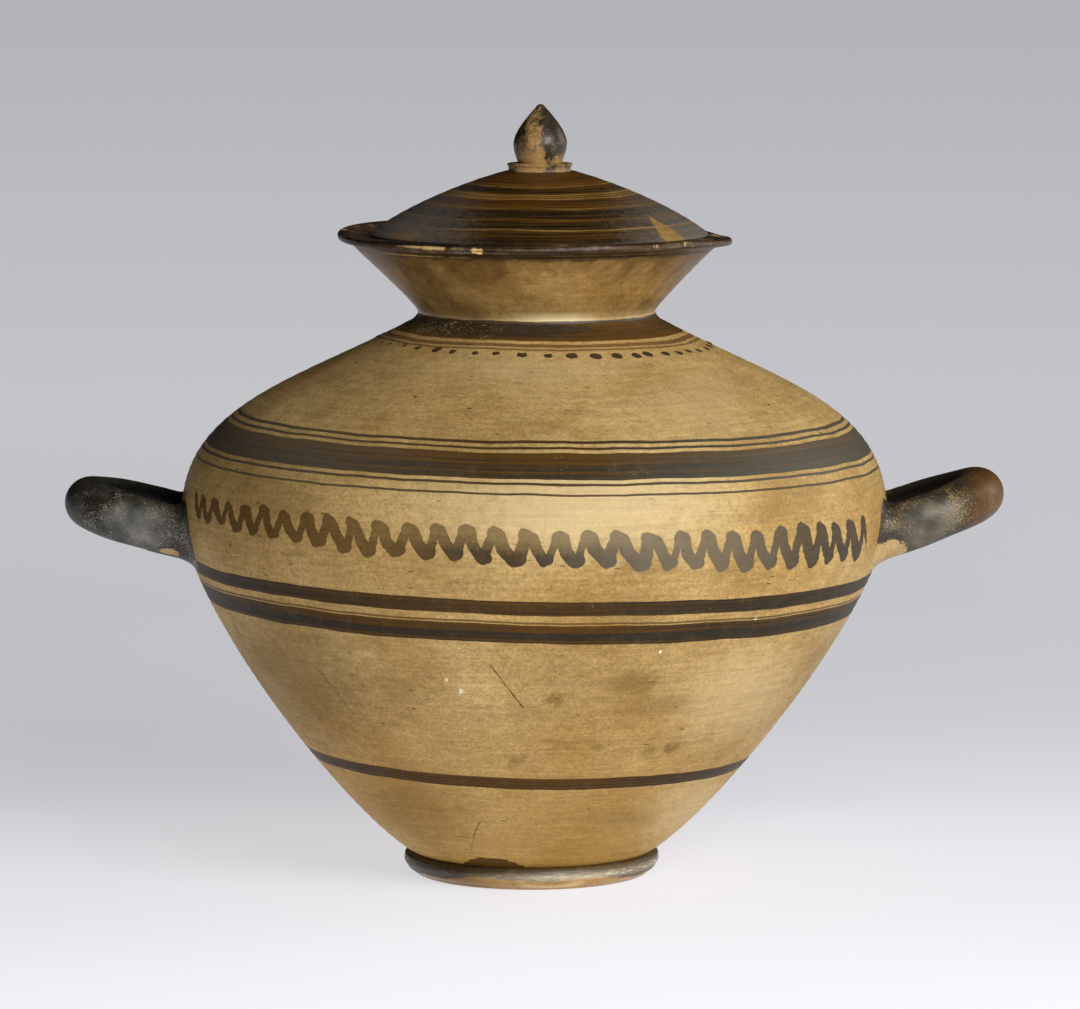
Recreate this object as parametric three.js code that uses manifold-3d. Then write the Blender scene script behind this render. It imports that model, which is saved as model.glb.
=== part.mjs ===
// Lidded jar of slip-painted earthenware: a round body thrown in sections on a ring foot,
// two upswept loop handles, a funnel neck with a jutting lip, and a loose domed lid with a bud knob.
// Millimetres, +Z up, handles along X, origin on the ground at the centre of the foot.
import * as THREE from "three";
import { mergeVertices } from "three/addons/utils/BufferGeometryUtils.js";
import Module from "manifold-3d";

// Foot ring
const FOOT_RADIUS = 57.8; // to the widest part of its rounded edge
const FOOT_HEIGHT = 10.4; // from the ground to the crease under the bowl
const FOOT_WIDTH = 12.5; // from the widest part in to the recess under the floor
const FOOT_TUCK = 2.8; // how far the rounded edge draws in at the ground and at the crease

// Bowl, from the crease above the foot to the body's widest level
const BOWL_HEIGHT = 154.2;
const BELLY_RADIUS = 160; // at the widest level
const BOWL_LEAN = 32.2; // degrees above level at which the wall leaves the foot
const BOWL_LOW_PULL = 39; // how far the wall keeps that lean before it curves
const BOWL_HIGH_PULL = 37.3; // how far the wall stays upright below the widest level
const WALL = 6; // of the body and the neck

// Shoulder, from the widest level to the throat
const SHOULDER_HEIGHT = 92;
const SHOULDER_LEAN = 28.5; // degrees above level where it nears the throat
const SHOULDER_LOW_PULL = 49.5; // how far the wall stays upright above the widest level
const SHOULDER_HIGH_PULL = 60; // how far the upper slope runs nearly straight

// Throat and funnel neck
const THROAT_RADIUS = 53.8;
const THROAT_BLEND = 3.8; // how far out the shoulder starts to turn up
const THROAT_SWEEP = 4.5; // height of that turn
const NECK_HEIGHT = 29;
const NECK_FLARE = 27.5; // how much wider the neck is at its top than at the throat
const NECK_TURN = 2.6; // height in which the neck turns from upright to its flare

// Lip
const LIP_HEIGHT = 6; // from the neck's top to the lip's inner edge
const LIP_OVERHANG = 8; // beyond the neck's top
const LIP_NOSE = 3.4; // thickness at the rounded outer edge
const LIP_DROOP = 0.2; // how far the outer edge lies below the inner one
const LIP_EDGE = 1.2; // rounding of the inner edge

// Lid
const LID_PLAY = 2.4; // between the lid's edge and the mouth, level
const SEAT_GAP = 0.3; // between the lid's seat and the neck, square to both
const SEAT_HEIGHT = 2; // of the lid's sloped seat
const LID_EDGE = 2; // upright face round the edge
const LID_RIM = 4.5; // flat underside of the edge
const LID_RISE = 28.2; // from the edge to the flat under the knob
const LID_WALL = 5.5; // at the top
const LID_LEAN = 38.8; // degrees above level at the edge
const LID_TOP_LEAN = 15.2; // degrees above level at the flat
const LID_PULL = 19; // how far the dome keeps each of these leans

// Knob
const DISC_RADIUS = 14.8;
const DISC_HEIGHT = 3.6;
const DISC_BEVEL = 0.9;
const DISC_LEDGE = 0.8; // of the lid's flat beyond the disc
const KNOB_RADIUS = 12.1;
const KNOB_BASE_RADIUS = 9.8;
const KNOB_WIDEST = 8.5; // height of the widest part above the disc
const KNOB_HEIGHT = 26.5;
const KNOB_TIP_WIDTH = 5; // half the width of the pointed tip
const KNOB_TIP_HEIGHT = 3.7;

// Handles: a coil bent into a loop, on two flared roots
const COIL_RADIUS = 11.4;
const HANDLE_SPREAD = 54; // between the middles of the two arms
const HANDLE_REACH = 53.2; // from the body's widest level out to the end of the loop
const HANDLE_DROP = 6.7; // of the arms' middles at the wall below the widest level
const LEFT_SWEEP = 14.8; // degrees that each loop rises outwards
const RIGHT_SWEEP = 19.4;
const ROOT_LENGTH = 10; // from the wall out to the coil's end
const ROOT_DEPTH = 16; // that the root's blank runs in past the wall before it is fitted
const ROOT_FLARE = 5.5; // how much wider than the coil the blank is at its inner end
const LUTE_GAP = 0.3; // between a root, its coil and the wall

// Facets
const ROUND = 48;
const SMALL_ROUND = 24;
const COIL_SIDES = 16;
const COIL_STEPS = 20;
const ROOT_STEPS = 7;

// Heights of the levels where the pieces meet
const creaseZ = FOOT_HEIGHT;
const widestZ = creaseZ + BOWL_HEIGHT;
const throatZ = widestZ + SHOULDER_HEIGHT;
const lipZ = throatZ + NECK_HEIGHT;

const wasm = await Module();
wasm.setup();

const at = (radius, height) => new THREE.Vector2(radius, height);
const heading = (degrees, length) => {
  const angle = THREE.MathUtils.degToRad(degrees);
  return at(Math.cos(angle) * length, Math.sin(angle) * length);
};

// A curve between two points that leaves the first along one heading and reaches the second along another.
function sweep(start, leave, end, arrive) {
  return new THREE.CubicBezierCurve(start, start.clone().add(leave), end.clone().sub(arrive), end);
}

// The inner face of a wall: the outer face's curve moved in square to its two ends.
function innerFace(outer, wall) {
  const leave = outer.v1.clone().sub(outer.v0);
  const arrive = outer.v3.clone().sub(outer.v2);
  const inward = (along) => at(-along.y, along.x).setLength(wall);
  const start = outer.v0.clone().add(inward(leave));
  const end = outer.v3.clone().add(inward(arrive));
  const shrink = start.distanceTo(end) / outer.v0.distanceTo(outer.v3);
  return sweep(start, leave.multiplyScalar(shrink), end, arrive.multiplyScalar(shrink));
}

// A solid of revolution about Z from an outline that runs up its outer side.
function turned(outline, sides = ROUND) {
  return new THREE.LatheGeometry(outline, sides).rotateX(Math.PI / 2);
}

// A ring of revolution: the outline closes on itself.
function turnedRing(outline) {
  return turned([...outline, outline[0].clone()]);
}

function toSolid(geometry) {
  const bare = geometry.clone();
  bare.deleteAttribute("normal");
  bare.deleteAttribute("uv");
  const merged = mergeVertices(bare, 1e-3);
  const vertProperties = merged.getAttribute("position").array;
  const triVerts = new Uint32Array(merged.index.array);
  return new wasm.Manifold(new wasm.Mesh({ numProp: 3, vertProperties, triVerts }));
}

function toGeometry(solid) {
  const mesh = solid.getMesh();
  const geometry = new THREE.BufferGeometry();
  geometry.setAttribute("position", new THREE.BufferAttribute(mesh.vertProperties, 3));
  geometry.setIndex(new THREE.BufferAttribute(mesh.triVerts, 1));
  return geometry;
}

const jar = new THREE.Group();

function addPiece(group, name, geometry, color, roughness) {
  const material = new THREE.MeshStandardMaterial({ color, roughness, metalness: 0 });
  const piece = new THREE.Mesh(geometry, material);
  piece.name = name;
  group.add(piece);
}

// Foot: a ring with a rounded outer edge, flat where it stands and where it meets the bowl.
const footCrease = FOOT_RADIUS - FOOT_TUCK;
const footInner = FOOT_RADIUS - FOOT_WIDTH;
const footEdge = new THREE.EllipseCurve(
  footCrease, FOOT_HEIGHT / 2, FOOT_TUCK, FOOT_HEIGHT / 2, -Math.PI / 2, Math.PI / 2,
);
const foot = turnedRing([at(footInner, 0), ...footEdge.getPoints(6), at(footInner, creaseZ)]);
addPiece(jar, "foot_ring", foot, 0x4a3d30, 0.6);

// Bowl: a floor on the foot and a wall that curves out to the widest level.
const bowlOuter = sweep(
  at(footCrease, creaseZ), heading(BOWL_LEAN, BOWL_LOW_PULL),
  at(BELLY_RADIUS, widestZ), at(0, BOWL_HIGH_PULL),
);
const bowlInner = innerFace(bowlOuter, WALL);
const bowl = turned([
  at(0, creaseZ),
  ...bowlOuter.getPoints(9),
  ...bowlInner.getPoints(7).reverse(),
  at(0, bowlInner.v0.y),
]);
addPiece(jar, "lower_bowl", bowl, 0xb3925c, 0.75);

// Shoulder: rises from the widest level and closes in to the throat, where it turns upright.
const shoulderOuter = sweep(
  at(BELLY_RADIUS, widestZ), at(0, SHOULDER_LOW_PULL),
  at(THROAT_RADIUS + THROAT_BLEND, throatZ - THROAT_SWEEP), heading(180 - SHOULDER_LEAN, SHOULDER_HIGH_PULL),
);
const shoulderInner = innerFace(shoulderOuter, WALL);
const throatInner = THROAT_RADIUS - WALL;

// The turn from the shoulder's slope to the upright throat.
function throatTurn(from, radius) {
  const rise = (from.x - radius) * Math.tan(THREE.MathUtils.degToRad(SHOULDER_LEAN));
  return new THREE.QuadraticBezierCurve(from, at(radius, from.y + rise), at(radius, throatZ));
}

const shoulder = turnedRing([
  ...shoulderOuter.getPoints(10),
  ...throatTurn(shoulderOuter.v3, THROAT_RADIUS).getPoints(3).slice(1),
  ...throatTurn(shoulderInner.v3, throatInner).getPoints(3).reverse(),
  ...shoulderInner.getPoints(7).reverse().slice(1),
]);
addPiece(jar, "shoulder", shoulder, 0xb3925c, 0.75);

// Neck: an open funnel on the throat.
const flareRun = NECK_FLARE / (NECK_HEIGHT - NECK_TURN); // outward travel for each unit of height
const levelWall = WALL * Math.hypot(1, flareRun); // the funnel's wall measured level
const neckTop = THROAT_RADIUS + NECK_FLARE;
const neckTopInner = neckTop - levelWall;
const neckOuter = new THREE.QuadraticBezierCurve(
  at(THROAT_RADIUS, throatZ), at(THROAT_RADIUS, throatZ + NECK_TURN), at(neckTop, lipZ),
);
const neckInner = new THREE.QuadraticBezierCurve(
  at(throatInner, throatZ),
  at(throatInner, lipZ - (neckTopInner - throatInner) / flareRun),
  at(neckTopInner, lipZ),
);
const neck = turnedRing([...neckOuter.getPoints(5), ...neckInner.getPoints(5).reverse()]);
addPiece(jar, "neck", neck, 0xb08d58, 0.75);

// Lip: juts out round the top of the neck and carries the funnel's inner slope on up to the mouth.
const mouthZ = lipZ + LIP_HEIGHT;
const mouthRadius = neckTopInner + LIP_HEIGHT * flareRun;
const noseRadius = neckTop + LIP_OVERHANG;
const nose = new THREE.EllipseCurve(
  noseRadius - LIP_NOSE / 2, mouthZ - LIP_DROOP - LIP_NOSE / 2,
  LIP_NOSE / 2, LIP_NOSE / 2, -Math.PI / 2, Math.PI / 2,
);
const mouthEdge = new THREE.QuadraticBezierCurve(
  at(mouthRadius + LIP_EDGE, mouthZ),
  at(mouthRadius, mouthZ),
  at(mouthRadius - LIP_EDGE * flareRun, mouthZ - LIP_EDGE),
);
const lip = turnedRing([
  at(neckTopInner, lipZ),
  at(neckTop, lipZ),
  ...nose.getPoints(4),
  ...mouthEdge.getPoints(2),
]);
addPiece(jar, "rim_lip", lip, 0x3d342b, 0.55);

// Lid: a dome that rests on the funnel's inner slope just inside the mouth.
const lid = new THREE.Group();
const lidRadius = mouthRadius - LID_PLAY;
const levelGap = SEAT_GAP * Math.hypot(1, flareRun);
const seatZ = lipZ + (lidRadius + levelGap - neckTopInner) / flareRun;
const lidBottomZ = seatZ - SEAT_HEIGHT;
const lidEdgeZ = seatZ + LID_EDGE;
const lidTopZ = lidEdgeZ + LID_RISE;
const lidFlat = DISC_RADIUS + DISC_LEDGE;
const seatInner = lidRadius - SEAT_HEIGHT * flareRun;
const domeLeave = heading(180 - LID_LEAN, LID_PULL);
const domeArrive = heading(180 - LID_TOP_LEAN, LID_PULL);
const domeOuter = sweep(at(lidRadius, lidEdgeZ), domeLeave, at(lidFlat, lidTopZ), domeArrive);
const domeInner = sweep(
  at(seatInner - LID_RIM, lidBottomZ), domeLeave, at(lidFlat, lidTopZ - LID_WALL), domeArrive,
);
const dome = turned([
  at(0, lidTopZ - LID_WALL),
  ...domeInner.getPoints(6).reverse(),
  at(seatInner, lidBottomZ),
  at(lidRadius, seatZ),
  ...domeOuter.getPoints(7),
  at(0, lidTopZ),
]);
addPiece(lid, "lid_dome", dome, 0x4b3a28, 0.55);

// Knob: a thin disc on the lid's flat and a pointed bud on the disc.
const discTopZ = lidTopZ + DISC_HEIGHT;
const disc = turned([
  at(0, lidTopZ),
  at(DISC_RADIUS - DISC_BEVEL, lidTopZ),
  at(DISC_RADIUS, lidTopZ + DISC_HEIGHT / 2),
  at(DISC_RADIUS, discTopZ - DISC_BEVEL),
  at(DISC_RADIUS - DISC_BEVEL, discTopZ),
  at(0, discTopZ),
], SMALL_ROUND);
addPiece(lid, "knob_disc", disc, 0x8a7350, 0.7);

const knobWidest = at(KNOB_RADIUS, discTopZ + KNOB_WIDEST);
const knobLow = sweep(
  at(KNOB_BASE_RADIUS, discTopZ), at((KNOB_RADIUS - KNOB_BASE_RADIUS) / 2, KNOB_WIDEST / 3),
  knobWidest, at(0, KNOB_WIDEST / 3),
);
const knobHigh = sweep(
  knobWidest, at(0, (KNOB_HEIGHT - KNOB_WIDEST) / 3),
  at(0, discTopZ + KNOB_HEIGHT), at(-KNOB_TIP_WIDTH, KNOB_TIP_HEIGHT),
);
const bud = turned([
  at(0, discTopZ),
  ...knobLow.getPoints(4),
  ...knobHigh.getPoints(7).slice(1),
], SMALL_ROUND);
addPiece(lid, "knob", bud, 0x3f342a, 0.5);

// The body's outer shape with the luting gap added, for fitting the handles' roots to the wall.
const fittingBody = toSolid(turned([
  at(0, creaseZ),
  ...bowlOuter.getPoints(9).map((p) => at(p.x + LUTE_GAP, p.y)),
  ...shoulderOuter.getPoints(10).slice(1).map((p) => at(p.x + LUTE_GAP, p.y)),
  at(0, shoulderOuter.v3.y),
]));

// The level loop that a coil follows: half an ellipse from one arm round to the other.
class HandleLoop extends THREE.Curve {
  constructor(armX, endX, halfSpread) {
    super();
    this.armX = armX;
    this.depth = endX - armX;
    this.halfSpread = halfSpread;
  }

  getPoint(t) {
    const angle = Math.PI * (t - 0.5);
    const x = this.armX + this.depth * Math.cos(angle);
    return new THREE.Vector3(x, this.halfSpread * Math.sin(angle), 0);
  }
}

// One handle on the +X side: the pieces are made level, then tipped up about the wall.
function addHandle(group, side, sweepDegrees, rootNames, color) {
  const tip = THREE.MathUtils.degToRad(sweepDegrees);
  const armY = HANDLE_SPREAD / 2;
  const wallX = Math.sqrt(BELLY_RADIUS ** 2 - armY ** 2);
  const coilX = wallX + ROOT_LENGTH;
  const endX = wallX + (BELLY_RADIUS + HANDLE_REACH - COIL_RADIUS - wallX) / Math.cos(tip);
  const place = (geometry) => geometry
    .translate(-wallX, 0, 0)
    .rotateY(-tip)
    .translate(wallX, 0, widestZ - HANDLE_DROP);

  const section = new THREE.Shape();
  section.absarc(0, 0, COIL_RADIUS, 0, 2 * Math.PI);
  const coil = new THREE.ExtrudeGeometry(section, {
    extrudePath: new HandleLoop(coilX, endX, armY),
    steps: COIL_STEPS,
    curveSegments: COIL_SIDES / 2,
  });
  addPiece(group, `${side}_handle`, place(coil), color, 0.5);

  const rootOutline = [at(0, -ROOT_DEPTH)];
  for (let i = 0; i <= ROOT_STEPS; i += 1) {
    const along = -ROOT_DEPTH + ((ROOT_LENGTH - LUTE_GAP + ROOT_DEPTH) * i) / ROOT_STEPS;
    const flare = ROOT_FLARE * ((ROOT_LENGTH - along) / (ROOT_LENGTH + ROOT_DEPTH)) ** 2;
    rootOutline.push(at(COIL_RADIUS + flare, along));
  }
  rootOutline.push(at(0, ROOT_LENGTH - LUTE_GAP));
  for (const [name, y] of [[rootNames[0], -armY], [rootNames[1], armY]]) {
    const blank = new THREE.LatheGeometry(rootOutline, COIL_SIDES);
    blank.rotateZ(-Math.PI / 2).translate(wallX, y, 0);
    const root = toSolid(place(blank)).subtract(fittingBody);
    addPiece(group, name, toGeometry(root), color, 0.55);
  }
}

const rightSide = new THREE.Group();
addHandle(rightSide, "right", RIGHT_SWEEP, ["right_front_root", "right_rear_root"], 0x4a3a2a);
const leftSide = new THREE.Group();
leftSide.rotation.z = Math.PI;
addHandle(leftSide, "left", LEFT_SWEEP, ["left_rear_root", "left_front_root"], 0x3a352f);

jar.add(lid, rightSide, leftSide);

export default jar;
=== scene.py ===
"""Looks of a wheel-thrown, slip-painted lidded jar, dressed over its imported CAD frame."""

import logging
import math
from dataclasses import dataclass, replace
from enum import Enum
from functools import cache, partial
from typing import Any, Callable

import bmesh
import bpy
import numpy as np
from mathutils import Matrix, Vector


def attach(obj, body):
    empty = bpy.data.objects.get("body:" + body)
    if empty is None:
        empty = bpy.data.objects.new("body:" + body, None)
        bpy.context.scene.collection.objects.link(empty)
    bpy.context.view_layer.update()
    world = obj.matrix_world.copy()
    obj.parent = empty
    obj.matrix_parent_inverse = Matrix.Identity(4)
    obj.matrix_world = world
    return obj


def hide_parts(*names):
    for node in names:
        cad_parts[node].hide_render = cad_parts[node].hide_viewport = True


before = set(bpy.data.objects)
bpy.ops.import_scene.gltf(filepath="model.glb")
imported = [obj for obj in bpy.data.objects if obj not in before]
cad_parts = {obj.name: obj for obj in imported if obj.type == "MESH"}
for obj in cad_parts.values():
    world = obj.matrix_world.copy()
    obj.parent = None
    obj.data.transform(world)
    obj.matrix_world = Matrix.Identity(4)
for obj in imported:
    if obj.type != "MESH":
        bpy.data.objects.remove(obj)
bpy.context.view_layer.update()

LOG = logging.getLogger("lidded_jar")
MM = 0.001
SEED = 11
NODE_FAMILIES = ("ShaderNode", "GeometryNode", "FunctionNode")
SHARP_EDGE = math.radians(38)
OUTSIDE = "outside"
# Point attribute: how far a handle's coil faces the inside of its loop, where its material paints
# shade.
LOOP_SHADE = "hollow"

# A call that adds a node to one tree: the add function below with its tree given.
Put = Callable[..., Any]
# A closed profile: runs of radius and height in mm, each with 1 if it faces outwards or else 0.
Runs = list[tuple[np.ndarray, float]]
Pair = tuple[float, float]
Place = tuple[float, float, float]
Numbers = tuple[float, ...]


class Body(Enum):
    """CAD bodies that the pieces ride on."""

    JAR = "jar"
    LID = "lid"


class Side(Enum):
    """The way a handle points along X."""

    LEFT = -1
    RIGHT = 1


class Slot(Enum):
    """Finish slots."""

    WALL = "painted_clay"
    FOOT = "foot_slip"
    RIM = "rim_slip"
    HANDLE = "handle_slip"
    LID = "lid_slip"
    KNOB = "knob_slip"


# Shared helpers


def linear(hex_colour: str) -> Numbers:
    """Turns an sRGB hex colour into linear RGBA.

    Args:
        hex_colour: a colour such as #c9a96e.

    Returns:
        Red, green, blue and a full alpha.
    """
    parts = [int(hex_colour[i : i + 2], 16) / 255 for i in (1, 3, 5)]
    bent = [c / 12.92 if c <= 0.04045 else ((c + 0.055) / 1.055) ** 2.4 for c in parts]
    return (*bent, 1.0)


def add(
    tree: bpy.types.NodeTree, kind: str, *feeds: Any, out: int | str = 0, **options: Any,
) -> Any:
    """Adds a node with its settings and links.

    Args:
        tree: the node tree that takes the node.
        kind: the node's type without its family, and after a dot its operation or data type.
        feeds: for each input in use, in order, a socket to link, a value, or None to leave it.
        out: the wanted output's name or number.
        options: the node's own settings.

    Returns:
        The wanted output socket.
    """
    name, _, choice = kind.partition(".")
    family = next(f for f in NODE_FAMILIES if hasattr(bpy.types, f + name))
    node = tree.nodes.new(family + name)
    if choice:
        setattr(node, "operation" if hasattr(node, "operation") else "data_type", choice)
    for option, value in options.items():
        setattr(node, option, value)
    for socket, feed in zip([s for s in node.inputs if s.enabled], feeds):
        if isinstance(feed, bpy.types.NodeSocket):
            tree.links.new(feed, socket)
        elif feed is not None:
            socket.default_value = feed
    if isinstance(out, str):
        return node.outputs[out]
    return [s for s in node.outputs if s.enabled][out]


def stray(
    put: Put, place: Any, size: float, reach: float, detail: float, rough: float = 0.5,
) -> Any:
    """Gives a slow noise that strays to both sides of 0, as an unsteady hand or a ragged edge does.

    Args:
        put: adds a node to the material.
        place: where on the piece, in mm.
        size: how far apart the noise's swings are, in mm.
        reach: how far it strays.
        detail: how many finer noises lie on it.
        rough: how strong those are.

    Returns:
        The noise's socket.
    """
    noise = put("TexNoise", place, 1 / size, detail, rough)
    return put("MapRange", noise, 0.3, 0.7, -reach, reach)


def fade(put: Put, value: Any, along: Any, *ends: Any) -> Any:
    """Scales a value by an amount that changes evenly along something else.

    Args:
        put: adds a node to the material.
        value: what is scaled.
        along: what the amount follows.
        ends: where along it the change starts and stops, and the two amounts, or else 0 and 1.

    Returns:
        The scaled value's socket.
    """
    return put("Math.MULTIPLY", value, put("MapRange", along, *ends))


def set_stops(ramp: bpy.types.ColorRamp, stops: list[tuple[float, Numbers]]) -> None:
    """Replaces a colour ramp's stops.

    Args:
        ramp: the ramp to change.
        stops: place from 0 to 1 and linear RGBA, in rising order.
    """
    while len(ramp.elements) > 1:
        ramp.elements.remove(ramp.elements[-1])
    ramp.elements[0].position, ramp.elements[0].color = stops[0]
    for place, colour in stops[1:]:
        ramp.elements.new(place).color = colour


def heading(degrees: float, length: float) -> np.ndarray:
    """Gives a step of some length along a heading in the profile plane."""
    angle = math.radians(degrees)
    return np.array([math.cos(angle), math.sin(angle)]) * length


def bend(step: float, *controls: Any) -> np.ndarray:
    """Samples a Bezier curve at even steps.

    Args:
        step: wanted distance between points.
        controls: its control points, two for a straight line.

    Returns:
        The points, both ends included.
    """
    marks = np.array(controls, float)
    order = len(marks) - 1
    t = np.linspace(0, 1, 400)[:, None]
    fine = sum(
        math.comb(order, i) * (1 - t) ** (order - i) * t**i * marks[i]
        for i in range(order + 1)
    )
    run = np.concatenate([[0], np.cumsum(np.linalg.norm(np.diff(fine, axis=0), axis=1))])
    count = max(2, math.ceil(run[-1] / step) + 1)
    even = np.linspace(0, run[-1], count)
    return np.column_stack([np.interp(even, run, fine[:, k]) for k in range(fine.shape[1])])


def inner_face(outer: np.ndarray, wall: float) -> np.ndarray:
    """Moves a wall's outer profile in, square to itself.

    Args:
        outer: the outer profile, from below.
        wall: the wall's thickness.

    Returns:
        The inner profile, point for point.
    """
    along = np.gradient(outer, axis=0)
    along /= np.linalg.norm(along, axis=1)[:, None]
    return outer + np.column_stack([-along[:, 1], along[:, 0]]) * wall


def finish_mesh(mesh: bpy.types.Mesh, material: bpy.types.Material | None = None) -> None:
    """Turns a closed mesh's faces outwards, smooths it and keeps its real edges sharp.

    Args:
        mesh: the mesh to finish.
        material: what it is dressed in, if it isn't dressed yet.
    """
    work = bmesh.new()
    work.from_mesh(mesh)
    bmesh.ops.recalc_face_normals(work, faces=work.faces)
    work.to_mesh(mesh)
    work.free()
    mesh.shade_smooth()
    mesh.set_sharp_from_angle(angle=SHARP_EDGE)
    if material:
        mesh.materials.append(material)


def hand_over(piece: bpy.types.Object, body: Body, slot: Slot, *nodes: str) -> None:
    """Rides a finished piece on its body and hides the CAD parts that it replaces.

    Args:
        piece: the finished piece.
        body: the CAD body that carries it.
        slot: not used.
        nodes: the CAD nodes that it replaces.
    """
    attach(piece, body.value)
    if nodes:
        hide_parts(*nodes)
    LOG.info("%s: %d faces, rides on %s", piece.name, len(piece.data.polygons), body.value)


# The potter's hand


@dataclass(frozen=True)
class Settling:
    """How the soft jar leaned and its lip warped, and where the lip was chipped later, in mm."""

    foot_shift: float = -1.3
    throat_shift: float = 1.1
    lip_shift: float = -0.85
    lid_shift: float = 2.25
    knob_shift: float = 0.65
    lip_tilt: float = -1.5
    lip_twist: float = -1.42
    chip: Place = (-25.5, -85.9, 290.2)
    chip_core: float = 0.8
    chip_reach: float = 3.3
    chip_depth: float = 1.1
    lean_zone: Pair = (0.0, 165.0)
    throat_zone: Pair = (165.0, 255.0)
    neck_zone: Pair = (258.0, 286.0)
    lip_zone: Pair = (262.0, 286.0)
    lip_reach: Pair = (79.0, 88.0)
    knob_zone: Pair = (300.0, 350.0)

    @staticmethod
    def _ease(value: np.ndarray, low: float, high: float) -> np.ndarray:
        """Rises smoothly from 0 at low to 1 at high."""
        t = np.clip((value - low) / (high - low), 0, 1)
        return t * t * (3 - 2 * t)

    def jar(self, points: np.ndarray) -> np.ndarray:
        """Leans points of the jar, warps its lip and cuts the chip in it.

        Args:
            points: rows of X, Y, Z in mm.

        Returns:
            The moved points.
        """
        moved = points.copy()
        x, y, z = points.T
        moved[:, 0] += self.foot_shift * (1 - self._ease(z, *self.lean_zone))
        moved[:, 0] += self.throat_shift * self._ease(z, *self.throat_zone)
        moved[:, 0] += self.lip_shift * self._ease(z, *self.neck_zone)
        out = np.hypot(x, y)
        round_lip = np.arctan2(y, x)
        warp = self.lip_tilt * np.cos(round_lip) + self.lip_twist * np.sin(2 * round_lip)
        moved[:, 2] += warp * self._ease(out, *self.lip_reach) * self._ease(z, *self.lip_zone)
        apart = np.linalg.norm(points - self.chip, axis=1)
        cut = self.chip_depth * (1 - self._ease(apart, self.chip_core, self.chip_reach))
        moved[:, :2] -= points[:, :2] * (cut / np.maximum(out, 1))[:, None]
        return moved

    def lid(self, points: np.ndarray) -> np.ndarray:
        """Sets the lid a little to one side in the mouth, and its knob a little further.

        Args:
            points: rows of X, Y, Z in mm.

        Returns:
            The moved points.
        """
        moved = points.copy()
        moved[:, 0] += self.lid_shift + self.knob_shift * self._ease(points[:, 2], *self.knob_zone)
        return moved


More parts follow.
